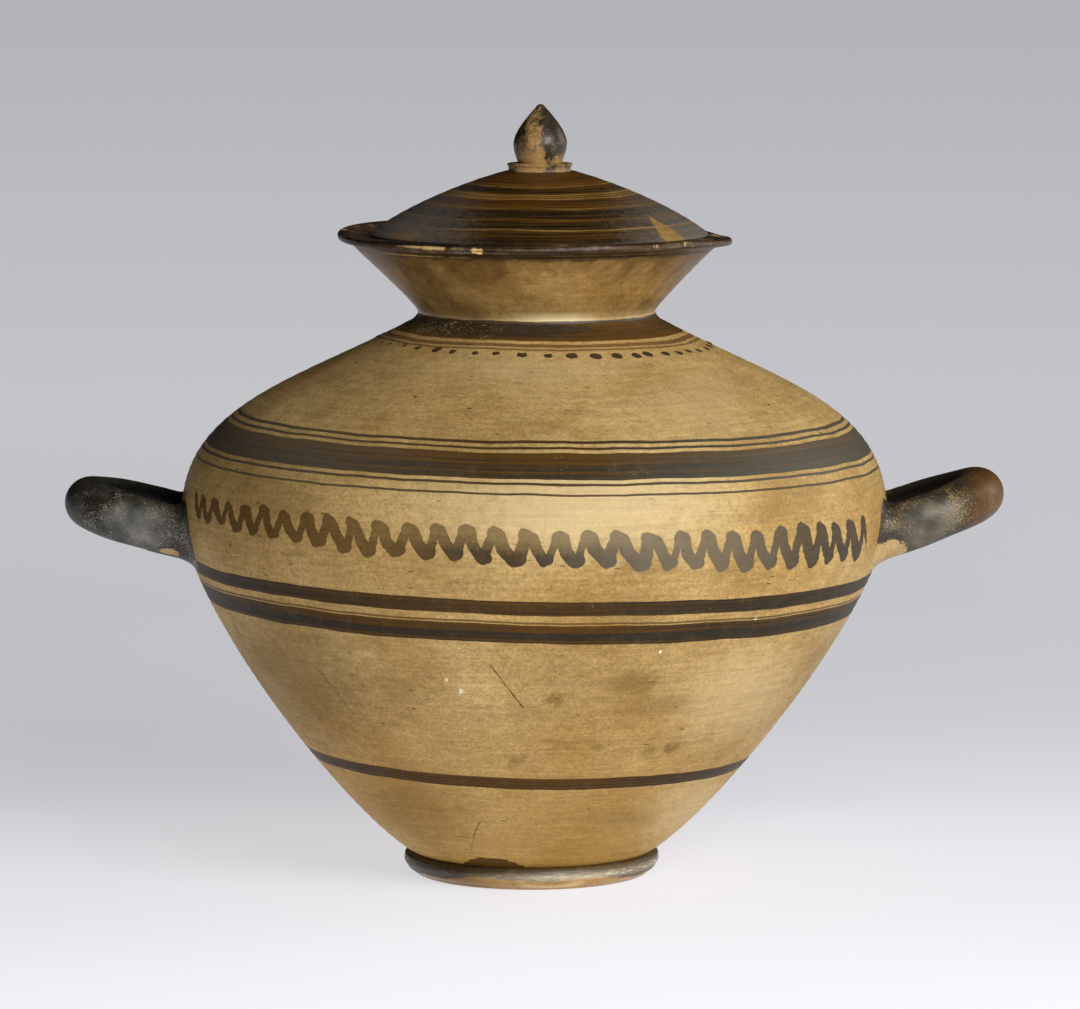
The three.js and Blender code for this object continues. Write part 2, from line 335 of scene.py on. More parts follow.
class Wheel:
    """Geometry Nodes tree that turns a profile on the wheel and leaves ridges and wobble in it."""

    WELD = 0.002 * MM
    STEADY_RADIUS = 20 * MM
    WOBBLE_SIZE = 60 * MM
    INPUTS = {
        "Geometry": "Geometry", "Sides": "Int", "Rows": "Int", "Ridge height": "Float",
        "Ridge spacing": "Float", "Wobble": "Float", "Wobble size": "Float", "Seed": "Float",
        "Clay": "Material",
    }

    def __init__(self) -> None:
        """Builds the tree: a grid bent round by the profile, then ridged, closed and dressed."""
        tree = self.tree = bpy.data.node_groups.new("Wheel turning", "GeometryNodeTree")
        put = partial(add, tree)
        for name, kind in self.INPUTS.items():
            tree.interface.new_socket(name, in_out="INPUT", socket_type="NodeSocket" + kind)
        tree.interface.new_socket("Geometry", in_out="OUTPUT", socket_type="NodeSocketGeometry")
        given = tree.nodes.new("NodeGroupInput").outputs
        position = put("InputPosition")
        last = put("Math.SUBTRACT", given["Rows"], 1.0)
        columns = put("Math.ADD", given["Sides"], 1.0)
        sheet = put("MeshGrid", given["Sides"], last, columns, given["Rows"])
        spot = put("SeparateXYZ", position).node.outputs
        turn = put("Math.MULTIPLY", put("Math.DIVIDE", spot["X"], given["Sides"]), math.tau)
        row = put("Math.ROUND", put("Math.MULTIPLY_ADD", last, 0.5, spot["Y"]))
        mark = put("SampleIndex.FLOAT_VECTOR", given["Geometry"], position, row)
        flag = put("InputNamedAttribute.FLOAT", OUTSIDE)
        outside = put("SampleIndex.FLOAT", given["Geometry"], flag, row)
        profile = put("SeparateXYZ", mark).node.outputs
        away = put(
            "CombineXYZ", put("Math.SINE", turn),
            put("Math.MULTIPLY", put("Math.COSINE", turn), -1.0), 0.0,
        )
        height = put("CombineXYZ", 0.0, 0.0, profile["Z"])
        place = put("VectorMath.ADD", put("VectorMath.SCALE", away, profile["X"]), height)
        size = put("Math.DIVIDE", 1.0, given["Wobble size"])
        uneven = put(
            "TexNoise", put("VectorMath.SCALE", place, size), given["Seed"], 1.0, 1.0,
            noise_dimensions="4D",
        )
        wobble = put("Math.MULTIPLY", put("MapRange", uneven, 0.0, 1.0, -1.0, 1.0), given["Wobble"])
        phase = put(
            "Math.MULTIPLY",
            put("Math.ADD", put("Math.DIVIDE", profile["Z"], given["Ridge spacing"]), uneven),
            math.tau,
        )
        ridge = put("Math.MULTIPLY", put("Math.SINE", phase), given["Ridge height"])
        swell = put(
            "Math.MULTIPLY", put("Math.ADD", wobble, ridge),
            put("MapRange", profile["X"], 0.0, self.STEADY_RADIUS),
        )
        flagged = put("StoreNamedAttribute.FLOAT", sheet, None, OUTSIDE, outside, domain="POINT")
        shaped = put("SetPosition", flagged, None, place, put("VectorMath.SCALE", away, swell))
        closed = put("MergeByDistance", shaped, None, self.WELD)
        real = put("RealizeInstances", closed)
        dressed = put("SetMaterial", real, None, given["Clay"])
        tree.links.new(dressed, tree.nodes.new("NodeGroupOutput").inputs[0])

    def turn(
        self, name: str, profile: Runs, clay: bpy.types.Material,
        settle: Callable[[np.ndarray], np.ndarray], sides: int = 288, ridge: float = 0.12,
        spacing: float = 3.4, wobble: float = 0.35,
    ) -> bpy.types.Object:
        """Turns one piece.

        Args:
            name: the piece's name.
            profile: its closed profile.
            clay: its material.
            settle: moves the turned points as the piece settled.
            sides: faces round the piece.
            ridge: height of the throwing ridges in mm.
            spacing: distance between ridges in mm.
            wobble: how far the wall strays from true, in mm.

        Returns:
            The finished piece at the origin.
        """
        points = np.vstack([run for run, _ in profile])
        flags = np.concatenate([np.full(len(run), flag) for run, flag in profile])
        apart = np.concatenate([[True], np.linalg.norm(np.diff(points, axis=0), axis=1) > 1e-4])
        points, flags = points[apart], flags[apart]
        mesh = bpy.data.meshes.new(name + "_profile")
        mesh.from_pydata([(r * MM, 0, z * MM) for r, z in points], [], [])
        mesh.attributes.new(OUTSIDE, "FLOAT", "POINT").data.foreach_set("value", flags)
        settings = {
            "Sides": sides, "Rows": len(points), "Ridge height": ridge * MM,
            "Ridge spacing": spacing * MM, "Wobble": wobble * MM, "Wobble size": self.WOBBLE_SIZE,
            "Seed": float(SEED), "Clay": clay,
        }
        piece = run_tree(name, mesh, self.tree, settings)
        places = np.empty(len(piece.data.vertices) * 3)
        piece.data.vertices.foreach_get("co", places)
        places = settle(places.reshape(-1, 3) / MM) * MM
        piece.data.vertices.foreach_set("co", places.ravel())
        finish_mesh(piece.data)
        return piece


def run_tree(
    name: str, mesh: bpy.types.Mesh, tree: bpy.types.NodeTree, settings: dict[str, Any]
) -> bpy.types.Object:
    """Runs a Geometry Nodes tree on a mesh and keeps its result as a plain mesh.

    Args:
        name: the finished piece's name.
        mesh: what goes into the tree.
        tree: the tree to run.
        settings: values for the tree's named inputs.

    Returns:
        An object with the plain mesh and no modifier.
    """
    piece = bpy.data.objects.new(name, mesh)
    bpy.context.scene.collection.objects.link(piece)
    modifier = piece.modifiers.new(tree.name, "NODES")
    modifier.node_group = tree
    for item in tree.interface.items_tree:
        if item.in_out == "INPUT" and item.name in settings:
            modifier[item.identifier] = settings[item.name]
    graph = bpy.context.evaluated_depsgraph_get()
    plain = bpy.data.meshes.new_from_object(piece.evaluated_get(graph), depsgraph=graph)
    piece.modifiers.remove(modifier)
    piece.data = plain
    plain.name = name
    bpy.data.meshes.remove(mesh)
    return piece


# Finishes


@dataclass(frozen=True)
class Surface:
    """What a finish hands on: colour, roughness and height sockets of one tree."""

    colour: Any
    rough: Any
    height: Any

    def tinted(self, colour: Any) -> "Surface":
        """Gives the same surface in another colour."""
        return replace(self, colour=colour)


@dataclass(frozen=True)
class BuffClay:
    """Buff earthenware, thrown and wiped smooth on the wheel.

    It gives a warm tan with clouds and brown stains, faint level wiping lines, grit, pits and
    lime specks.
    """

    pale: str = "#c9a96e"
    deep: str = "#ad8950"
    stain: str = "#83622f"
    # Smoky clouds in the clay; on the wall also the colour of the painted shade patches.
    smoke_and_shade: str = "#7c602f"
    lime: str = "#f1e3c4"
    pit: str = "#33240f"
    cloud_mm: float = 48.0
    stain_mm: float = 13.0
    mottle_mm: float = 3.0
    wipe_mm: float = 1.1
    wipe_run_mm: float = 28.0
    # Real grit is about 0.3 mm across: it is drawn coarser, or the render would not show it.
    grit_mm: float = 1.4
    pit_mm: float = 2.6
    lime_mm: float = 15.0
    stained: float = 0.38
    rough: float = 0.46

    def lay(self, put: Put, mm: Any) -> Surface:
        """Builds the bare clay.

        Args:
            put: adds a node to the material.
            mm: the place on the piece in mm.

        Returns:
            The clay's colour, roughness and height.
        """
        cloud = put("TexNoise", mm, 1 / self.cloud_mm, 5.0, 0.6)
        wide = put("TexNoise", mm, 0.37 / self.cloud_mm, 3.0, 0.55)
        level = put("VectorMath.MULTIPLY", mm, (0.55, 0.55, 1.0))
        blot = put("TexNoise", level, 1 / self.stain_mm, 7.0, 0.7)
        mottle = put("TexNoise", level, 1 / self.mottle_mm, 4.0, 0.7)
        along = 1 / self.wipe_run_mm
        stretch = put("VectorMath.MULTIPLY", mm, (along, along, 1 / self.wipe_mm))
        wipe = put("TexNoise", stretch, 1.0, 4.0, 0.62)
        grit = put("TexNoise", mm, 1 / self.grit_mm, 5.0, 0.8)
        colour = linear(self.pale)
        for share, tint in (
            (put("MapRange", cloud, 0.32, 0.68), self.deep),
            (put("MapRange", wide, 0.5, 0.72, 0.0, 0.5), self.smoke_and_shade),
            (put("MapRange", blot, 0.52, 0.74, 0.0, self.stained), self.stain),
        ):
            colour = put("Mix.RGBA", share, colour, linear(tint))
        shade = fade(put, put("MapRange", wipe, 0.3, 0.7, 0.94, 1.05), grit, 0.25, 0.75, 0.6, 1.36)
        shade = fade(put, shade, mottle, 0.3, 0.7, 0.85, 1.13)
        colour = put("VectorMath.SCALE", colour, shade)
        dashes = put("VectorMath.MULTIPLY", mm, (0.2, 0.2, 1.0))
        near = put("TexVoronoi", dashes, 1 / self.pit_mm)
        lot = put("SeparateXYZ", near.node.outputs["Color"], out="X")
        pits = fade(put, put("Math.GREATER_THAN", lot, 0.7), near, 0.06, 0.12, 0.85, 0.0)
        far = put("TexVoronoi", mm, 1 / self.lime_mm)
        lot = put("SeparateXYZ", far.node.outputs["Color"], out="Y")
        limes = fade(put, put("Math.GREATER_THAN", lot, 0.6), far, 0.022, 0.045, 0.9, 0.0)
        for share, tint in ((pits, self.pit), (limes, self.lime)):
            colour = put("Mix.RGBA", share, colour, linear(tint))
        rough = put("MapRange", cloud, 0.3, 0.7, self.rough - 0.06, self.rough + 0.1)
        height = put("Math.MULTIPLY_ADD", wipe, 0.05, put("Math.MULTIPLY", grit, 0.05))
        height = put("Math.SUBTRACT", height, put("Math.MULTIPLY", pits, 0.15))
        return Surface(colour, rough, height)


@dataclass(frozen=True)
class BrushedSlip:
    """Iron slip brushed on over the clay: brown where thin, near black and satin where thick.

    It gives level brush streaks, a dusty bloom, and flecks where the slip came off.
    """

    thin: str = "#56370b"
    thick: str = "#28241e"
    bloom: str = "#756b54"
    rough: float = 0.4
    # A brush hair's own line is about 0.2 mm wide: streaks are drawn coarser, so that they show.
    streak_mm: float = 0.8
    streak_run_mm: float = 45.0
    cloud_mm: float = 14.0
    powder_mm: float = 7.0
    fleck_mm: float = 1.1
    swing: float = 0.42
    dust: float = 0.26

    def lay(self, put: Put, mm: Any, clay: Surface, cover: Any, tone: Any, wear: Any) -> Surface:
        """Paints slip over clay.

        Args:
            put: adds a node to the material.
            mm: the place on the piece in mm.
            clay: the surface beneath.
            cover: how much slip there is, from 0 to 1.
            tone: from 0 for thin brown slip to 1 for thick dark slip.
            wear: from 0 for sound slip to 1 for slip rubbed off in flecks.

        Returns:
            The painted surface.
        """
        along = 1 / self.streak_run_mm
        stretch = put("VectorMath.MULTIPLY", mm, (along, along, 1 / self.streak_mm))
        streak = put("TexNoise", stretch, 1.0, 4.0, 0.6)
        cloud = put("TexNoise", mm, 1 / self.cloud_mm, 4.0, 0.6)
        fleck = put("TexNoise", mm, 1 / self.fleck_mm, 4.0, 0.7)
        swing = put("MapRange", streak, 0.3, 0.7, -self.swing, self.swing)
        dark = put("Math.ADD", tone, swing, use_clamp=True)
        paint = put("Mix.RGBA", dark, linear(self.thin), linear(self.thick))
        powder = put("TexNoise", mm, 1 / self.powder_mm, 8.0, 0.8)
        dusty = put("MapRange", powder, 0.5, 0.78, 0.0, self.dust)
        paint = put("Mix.RGBA", dusty, paint, linear(self.bloom))
        limit = put("Math.MULTIPLY_ADD", wear, -0.4, 1.02)
        local = put("Math.MULTIPLY_ADD", cloud, 0.35, fleck)
        rubbed = put("MapRange", put("Math.SUBTRACT", local, limit), 0.02, 0.1)
        left = put("Math.MULTIPLY", cover, put("Math.MULTIPLY_ADD", rubbed, -0.85, 1.0))
        colour = put("Mix.RGBA", left, clay.colour, paint)
        gloss = put("MapRange", fleck, 0.3, 0.7, self.rough - 0.05, self.rough + 0.1)
        rough = put("Mix.FLOAT", left, clay.rough, gloss)
        height = put("Math.MULTIPLY_ADD", left, 0.07, clay.height)
        return Surface(colour, rough, height)


def start_material(name: str) -> tuple[bpy.types.Material, Put, Any]:
    """Starts a material.

    Args:
        name: what it is and how its surface was made.

    Returns:
        The material, the call that adds a node to it, and the place on the piece in mm.
    """
    material = bpy.data.materials.new(name)
    material.use_nodes = True
    material.node_tree.nodes.clear()
    put = partial(add, material.node_tree)
    return material, put, put("VectorMath.SCALE", put("TexCoord", out="Object"), 1 / MM)


def end_material(put: Put, surface: Surface, gloss: float = 0.45) -> bpy.types.Node:
    """Joins a surface to a ceramic shader and the material's output.

    Args:
        put: adds a node to the material.
        surface: its colour, roughness and height in mm.
        gloss: how much light the surface mirrors.

    Returns:
        The shader node.
    """
    shader = put("BsdfPrincipled").node
    tree = shader.id_data
    shader.inputs["Specular IOR Level"].default_value = gloss
    normal = put("Bump", 1.0, MM, None, surface.height)
    for name, feed in (
        ("Base Color", surface.colour), ("Roughness", surface.rough), ("Normal", normal),
    ):
        tree.links.new(feed, shader.inputs[name])
    output = tree.nodes.new("ShaderNodeOutputMaterial")
    tree.links.new(shader.outputs["BSDF"], output.inputs["Surface"])
    return shader


@cache
def stroke_tree() -> bpy.types.NodeTree:
    """Builds once the group that measures how far a point is from a brush stroke, and where along.

    Returns:
        A shader group with Point, Start and End, giving Distance and Along.
    """
    tree = bpy.data.node_groups.new("Brush stroke", "ShaderNodeTree")
    put = partial(add, tree)
    for name in ("Point", "Start", "End"):
        tree.interface.new_socket(name, in_out="INPUT", socket_type="NodeSocketVector")
    for name in ("Distance", "Along"):
        tree.interface.new_socket(name, in_out="OUTPUT", socket_type="NodeSocketFloat")
    given = tree.nodes.new("NodeGroupInput").outputs
    reach = put("VectorMath.SUBTRACT", given["Point"], given["Start"])
    line = put("VectorMath.SUBTRACT", given["End"], given["Start"])
    share = put(
        "Math.DIVIDE", put("VectorMath.DOT_PRODUCT", reach, line),
        put("VectorMath.DOT_PRODUCT", line, line), use_clamp=True,
    )
    nearest = put("VectorMath.SCALE", line, share)
    apart = put("VectorMath.LENGTH", put("VectorMath.SUBTRACT", reach, nearest))
    result = tree.nodes.new("NodeGroupOutput").inputs
    tree.links.new(apart, result["Distance"])
    tree.links.new(share, result["Along"])
    return tree


@dataclass(frozen=True)
class Band:
    """A painted band: heights in mm with the slip's tone at each, from its lower edge up."""

    tones: tuple[Pair, ...]
    cover: float = 0.97
    soft: float = 0.1

    def stops(self, floor: float, span: float) -> list[tuple[float, Numbers]]:
        """Gives ramp stops with cover in red and tone in green.

        Args:
            floor: the height in mm where the ramp starts.
            span: the height in mm that it covers.

        Returns:
            Places from 0 to 1 with their colours.
        """
        bare, (low, first), (high, last) = (0.0, 0.0, 0.0, 1.0), self.tones[0], self.tones[-1]
        inner = ((low + self.soft, first), *self.tones[1:-1], (high - self.soft, last))
        places = [(low - self.soft, bare)]
        places += [(height, (self.cover, tone, 0.0, 1.0)) for height, tone in inner]
        places.append((high + self.soft, bare))
        return [((height - floor) / span, colour) for height, colour in places]


@dataclass(frozen=True)
class Mark:
    """A scratch, crack or stain on the wall, from and to an angle and height, with its width."""

    start: Pair
    end: Pair
    width: float
    tone: float = 0.6
    cover: float = 0.8


# Painted bands in groups, each low enough for one colour ramp to keep its edges crisp.
LOW_BANDS = (
    Band((
        (53.2, 0.6), (53.8, 0.6), (54.0, 0.0), (54.7, 0.0), (54.9, 0.5), (55.5, 0.5),
        (55.7, 0.0), (56.3, 0.0), (56.5, 0.5), (57.1, 0.5), (57.3, 0.0), (58.7, 0.0),
    )),
)
NECK_BANDS = (
    Band(((244.45, 0.2), (245.05, 0.2)), 0.7), Band(((245.7, 0.2), (246.9, 0.2)), 0.75),
    Band(((248.1, 0.05), (249.2, 0.2), (250.0, 1.0), (254.6, 1.0), (255.5, 0.6), (256.35, 0.35))),
)
SHOULDER_BANDS = (
    Band(((189.3, 0.6), (190.2, 0.6)), 0.92), Band(((193.5, 0.6), (194.55, 0.6)), 0.95),
    Band((
        (195.95, 0.7), (198.2, 0.75), (198.4, 0.2), (199.0, 0.2), (199.2, 0.75), (201.6, 0.75),
        (201.9, 0.1), (202.9, 0.1), (203.1, 0.6), (203.6, 0.6), (203.8, 0.0), (206.3, 0.1),
    )),
    Band(((207.6, 0.5), (208.55, 0.5)), 0.97), Band(((209.85, 0.5), (210.95, 0.5)), 0.97),
)
BELLY_BANDS = (
    Band((
        (124.5, 0.75), (125.1, 0.75), (125.3, 0.1), (125.8, 0.1), (126.1, 0.95), (129.3, 0.95),
        (129.6, 0.15), (131.0, 0.15), (131.2, 0.5), (131.6, 0.5), (131.8, 0.0), (133.0, 0.05),
    )),
    Band(((133.5, 0.1), (134.4, 0.1)), 0.75),
    Band((
        (137.4, 0.3), (137.9, 0.3), (138.2, 0.5), (141.8, 0.55), (142.1, 0.15), (142.9, 0.3),
        (143.1, 0.6), (143.8, 0.6),
    )),
)
# Scratches and hairlines, then the dark stain above the foot.
WALL_MARKS = (
    Mark((-7.8, 114.5), (-2.1, 93.8), 0.4, 0.2),
    Mark((-44.1, 107.6), (-40.1, 86.1), 0.35, 0.2, 0.6),
    Mark((-16.9, 35.4), (-20.7, 28.2), 0.35, 0.4),
    Mark((-20.7, 28.2), (-27.0, 16.6), 0.3, 0.3, 0.5),
    Mark((-29.2, 26.7), (-22.6, 26.9), 0.3, 0.3, 0.6),
    Mark((-13.1, 171.8), (-1.0, 168.6), 0.22, 0.7),
    Mark((-1.0, 168.6), (11.7, 166.7), 0.2, 0.6, 0.7),
    Mark((-33.0, 11.0), (-6.0, 10.8), 1.6, 0.05, 0.92),
    Mark((-29.0, 11.5), (-10.0, 11.2), 3.0, 0.05, 0.92),
    Mark((-25.0, 12.1), (-14.0, 11.8), 3.8, 0.1, 0.92),
)


@dataclass(frozen=True)
class StainAndLightPatch:
    """A soft patch on the wall: angle, height, half sizes in mm, and how pale or dark. Pale patches
    are painted sheen, wide dark ones on the left are painted shade, the rest are stains.
    """

    angle: float
    height: float
    across: float
    up: float
    amount: float


# Pale patches are painted sheen and the wide dark ones on the left are painted shade; the rest are
# stains.
STAINS_AND_PAINTED_LIGHT = (
    StainAndLightPatch(8.0, 184.0, 95.0, 30.0, 0.85), StainAndLightPatch(46.0, 92.0, 50.0, 34.0, 0.5),
    StainAndLightPatch(60.0, 34.0, 46.0, 28.0, 0.6), StainAndLightPatch(46.0, 182.0, 30.0, 20.0, -0.45),
    StainAndLightPatch(18.6, 105.0, 17.0, 8.0, -0.6), StainAndLightPatch(25.0, 93.0, 24.0, 7.0, -0.4),
    StainAndLightPatch(32.5, 70.5, 5.0, 4.0, -0.75), StainAndLightPatch(27.1, 70.0, 5.0, 3.5, -0.6),
    StainAndLightPatch(3.9, 97.7, 7.0, 4.0, -0.6), StainAndLightPatch(-4.4, 68.1, 5.0, 4.0, -0.6),
    StainAndLightPatch(14.0, 75.0, 8.0, 3.5, -0.45), StainAndLightPatch(29.0, 36.0, 24.0, 9.0, -0.32),
    StainAndLightPatch(2.0, 238.0, 60.0, 8.0, 0.35), StainAndLightPatch(-58.0, 100.0, 80.0, 46.0, -0.65),
    StainAndLightPatch(-42.0, 36.0, 44.0, 26.0, -0.35), StainAndLightPatch(-48.0, 186.0, 46.0, 18.0, -0.35),
    StainAndLightPatch(76.0, 98.0, 34.0, 40.0, -0.35), StainAndLightPatch(38.0, 222.0, 44.0, 22.0, 0.25),
)
# Lime chips: degrees from the front, height and half size in mm.
CHIPS = (
    (-16.3, 106.5, 1.1), (-13.8, 102.0, 1.3), (22.4, 119.0, 0.8), (-12.9, 121.9, 0.4),
    (24.6, 126.2, 0.4), (40.0, 131.0, 0.7),
)


@dataclass(frozen=True)
class Wave:
    """The brushed wave round the belly: one turn of the brush's path in mm, from crest to crest.

    The brush ran thinner on its way up, by the lift.
    """

    path: tuple[Pair, ...] = (
        (0.0, 5.5), (2.5, 4.5), (4.6, -0.8), (8.2, -5.4), (10.2, -4.6), (13.3, 5.5),
    )
    half_stroke: float = 3.05
    lift: float = 0.75
    steep: float = 1.0
    radius: float = 160.0
    phase: float = 3.3
    middle: float = 167.2
    fall: float = 0.043
    start: float = -74.5
    stop: float = 69.0

    def strokes(self) -> list[tuple[Place, Place, float]]:
        """Gives the path's straight strokes, with the next turns' that reach into this one.

        Returns:
            Each stroke's start, end, and how much thinner it is in mm.
        """
        pitch = self.path[-1][0]
        points = [(self.path[-2][0] - pitch, self.path[-2][1]), *self.path]
        points += [(x + pitch, y) for x, y in self.path[1:3]]
        return [
            ((*start, 0.0), (*end, 0.0), self.lift if end[1] - start[1] > self.steep else 0.0)
            for start, end in zip(points, points[1:])
        ]


@dataclass(frozen=True)
class PaintedWall:
    """Thrown buff clay with bands, a brushed wave and handle slip painted on its outside, with
    painted sheen and shade among its patches.

    Zones are heights and reaches are distances from the middle, in mm.
    """

    clay: BuffClay = BuffClay()
    slip: BrushedSlip = BrushedSlip()
    wave: Wave = Wave()
    arm: float = 27.0
    arm_height: float = 158.0
    slip_reach: float = 13.2
    bare_below: float = 152.0
    toast_zone: Pair = (15.0, 95.0)
    belly_zone: Pair = (150.0, 160.0)
    band_sheen_zone: Pair = (178.0, 192.0)
    neck_zone: Pair = (215.0, 240.0)
    wear_zone: Pair = (250.0, 264.0)
    sheen_reach: Pair = (20.0, 110.0)
    tilt_zone: Pair = (140.0, 255.0)
    tilts: Pair = (0.0232, 0.008)
    wide_patch: float = 12.0
    patch_mm: float = 6.0
    drift_mm: float = 26.0
    stroke_edge_mm: float = 1.6
    hand_mm: float = 30.0
    fray_mm: float = 3.0
    gloss: float = 0.06
    # Colour of the painted sheen patches.
    painted_light_tint: str = "#d7bd8b"
    toasted: str = "#bb8c3a"
    # Grey of the dust and painted sheen on the upper band, and of the greyed wave.
    dust: str = "#837c6d"

    def _bands(self, put: Put, height: Any) -> tuple[Any, Any]:
        """Paints every band.

        Args:
            put: adds a node to the material.
            height: the height in mm, tilted and unsteady as the brush was.

        Returns:
            The bands' cover and tone.
        """
        cover = tone = None
        for group in (LOW_BANDS, BELLY_BANDS, SHOULDER_BANDS, NECK_BANDS):
            floor, top = group[0].tones[0][0] - 1, group[-1].tones[-1][0] + 1
            ramp = put("ValToRGB", put("MapRange", height, floor, top))
            set_stops(
                ramp.node.color_ramp,
                [stop for band in group for stop in band.stops(floor, top - floor)],
            )
            parts = put("SeparateColor", ramp).node.outputs
            cover = parts["Red"] if cover is None else put("Math.MAXIMUM", cover, parts["Red"])
            tone = parts["Green"] if tone is None else put("Math.MAXIMUM", tone, parts["Green"])
        return cover, tone

    def _stains_and_painted_light(self, put: Put, spot: Any, clay: Surface) -> Surface:
        """Lays soft patches of stain, painted sheen and painted shade, and a few lime chips, over
        the bare clay.

        Args:
            put: adds a node to the material.
            spot: the distance round the wall and the height in mm.
            clay: the bare clay.

        Returns:
            The clay with its patches.
        """
        height = put("SeparateXYZ", spot, out="Y")
        toasted = put("MapRange", height, *self.toast_zone, 0.4, 0.0)
        colour = put("Mix.RGBA", toasted, clay.colour, linear(self.toasted))
        ragged = stray(put, spot, self.patch_mm, 0.75, 7.0, 0.75)
        mild = put("Math.MULTIPLY", ragged, 0.4)
        # Each patch is a stain, painted sheen or painted shade, as listed above.
        for tint_patch in STAINS_AND_PAINTED_LIGHT:
            scaled = put("VectorMath.SUBTRACT", spot, wall_place(tint_patch.angle, tint_patch.height))
            scaled = put("VectorMath.DIVIDE", scaled, (tint_patch.across, tint_patch.up, 1.0))
            edge = ragged if tint_patch.across < self.wide_patch else mild
            apart = put("Math.ADD", put("VectorMath.LENGTH", scaled), edge)
            share = put(
                "MapRange", apart, 0.2, 1.1, abs(tint_patch.amount), 0.0,
                interpolation_type="SMOOTHSTEP",
            )
            tint = linear(self.painted_light_tint if tint_patch.amount > 0 else self.clay.smoke_and_shade)
            colour = put("Mix.RGBA", share, colour, tint)
        grain = put("MapRange", clay.height, 0.03, 0.07, 0.84, 1.16)
        colour = put("VectorMath.SCALE", colour, grain)
        for angle, height, half in CHIPS:
            apart = put("VectorMath.DISTANCE", spot, wall_place(angle, height))
            apart = put("Math.MULTIPLY_ADD", ragged, half * 2, apart)
            share = put("MapRange", apart, half * 0.7, half, 0.95, 0.0)
            colour = put("Mix.RGBA", share, colour, linear(self.clay.lime))
        return clay.tinted(colour)

    def _brushed_wave(self, put: Put, mm: Any) -> tuple[Any, Any]:
        """Paints the wave between the handles, front and back.

        Args:
            put: adds a node to the material.
            mm: the place in mm.

        Returns:
            The wave's cover and tone.
        """
        wave = self.wave
        x, y, z = put("SeparateXYZ", mm).node.outputs
        angle = put("Math.ARCTAN2", x, put("Math.ABSOLUTE", y))
        drift = put("TexNoise", mm, 1 / self.drift_mm, 1.0, 0.4)
        shake = put("SeparateColor", drift.node.outputs["Color"]).node.outputs
        edge = put("TexNoise", mm, 1 / self.stroke_edge_mm, 3.0, 0.6)
        pitch = wave.path[-1][0]
        run = put("Math.MULTIPLY_ADD", angle, wave.radius, wave.phase)
        run = put("Math.ADD", run, put("MapRange", shake["Red"], 0.2, 0.8, -3.0, 3.0))
        along = put("Math.MULTIPLY", put("Math.FRACT", put("Math.DIVIDE", run, pitch)), pitch)
        line = put("Math.MULTIPLY_ADD", x, wave.fall, z)
        line = put("Math.SUBTRACT", line, wave.middle)
        line = put("Math.ADD", line, put("MapRange", shake["Green"], 0.2, 0.8, -1.6, 1.6))
        squeeze = fade(
            put, put("MapRange", angle, 0.3, 0.95, 1.0, 0.83), angle, -1.1, -0.5, 1.42, 1.0,
        )
        line = put("Math.MULTIPLY", line, squeeze)
        point = put("CombineXYZ", along, line, 0.0)
        nearest = None
        for start, end, lack in wave.strokes():
            apart = put("Math.ADD", put("Group", point, start, end, node_tree=stroke_tree()), lack)
            nearest = apart if nearest is None else put("Math.MINIMUM", nearest, apart)
        half = put(
            "MapRange", shake["Blue"], 0.3, 0.7, wave.half_stroke - 0.3, wave.half_stroke + 0.3,
        )
        half = put("Math.ADD", half, put("MapRange", edge, 0.3, 0.7, -0.22, 0.22))
        half = put("Math.ADD", half, put("MapRange", angle, -1.0, -0.4, -0.5, 0.0))
        for far, away in ((wave.start, 0.05), (wave.stop, -0.05)):
            limit = math.radians(far)
            half = put("Math.ADD", half, put("MapRange", angle, limit + away, limit, 0.0, -4.0))
        gap = put("Math.SUBTRACT", nearest, half)
        rim = put("MapRange", gap, -1.0, -0.3, 0.0, 0.04)
        aside = put("Math.ABSOLUTE", angle)
        middle = put("MapRange", aside, 0.15, 0.5, 1.0, 0.12)
        brush = put("TexNoise", put("VectorMath.MULTIPLY", point, (1.0, 0.3, 1.0)), 0.9, 3.0, 0.6)
        loaded = put("Math.MULTIPLY_ADD", put("Math.SUBTRACT", brush, 0.5), 5.0, line)
        loaded = put("MapRange", loaded, 3.5, -3.5)
        loaded = put("Math.MULTIPLY", loaded, middle)
        full = put("MapRange", aside, 0.4, 0.95, 0.73, 0.86)
        full = put("Math.ADD", full, put("MapRange", angle, 0.55, 0.9, 0.0, 0.08))
        full = put("Math.ADD", put("Math.MULTIPLY_ADD", middle, -0.1, full), rim)
        inside = put("MapRange", gap, -0.25, 0.25, 1.0, 0.0)
        cover = put("Math.MULTIPLY_ADD", loaded, 0.28, full)
        tone = put("MapRange", angle, -0.7, 0.6, 0.1, 0.85)
        tone = put("Math.MULTIPLY_ADD", loaded, 0.5, tone)
        return put("Math.MULTIPLY", cover, inside), put("Math.MULTIPLY", tone, inside)

    def _handle_slip(self, put: Put, mm: Any) -> Any:
        """Paints the wall round and between the handles' roots.

        Args:
            put: adds a node to the material.
            mm: the place in mm.

        Returns:
            The slip's cover there.
        """
        x, y, z = put("SeparateXYZ", mm).node.outputs
        past = put("Math.MAXIMUM", put("Math.SUBTRACT", put("Math.ABSOLUTE", y), self.arm), 0.0)
        reach = put("CombineXYZ", past, put("Math.SUBTRACT", z, self.arm_height), 0.0)
        ragged = stray(put, mm, self.patch_mm, 1.3, 3.0)
        apart = put("Math.ADD", put("VectorMath.LENGTH", reach), ragged)
        near = put("MapRange", apart, self.slip_reach - 0.3, self.slip_reach + 0.3, 1.0, 0.0)
        low = put("Math.ADD", z, ragged)
        bare = put("MapRange", low, self.bare_below, self.bare_below + 0.6, 1.0, 0.0)
        bare = put("Math.MULTIPLY", bare, put("Math.GREATER_THAN", x, 0.0))
        return put("Math.MULTIPLY", near, put("Math.SUBTRACT", 1.0, bare))

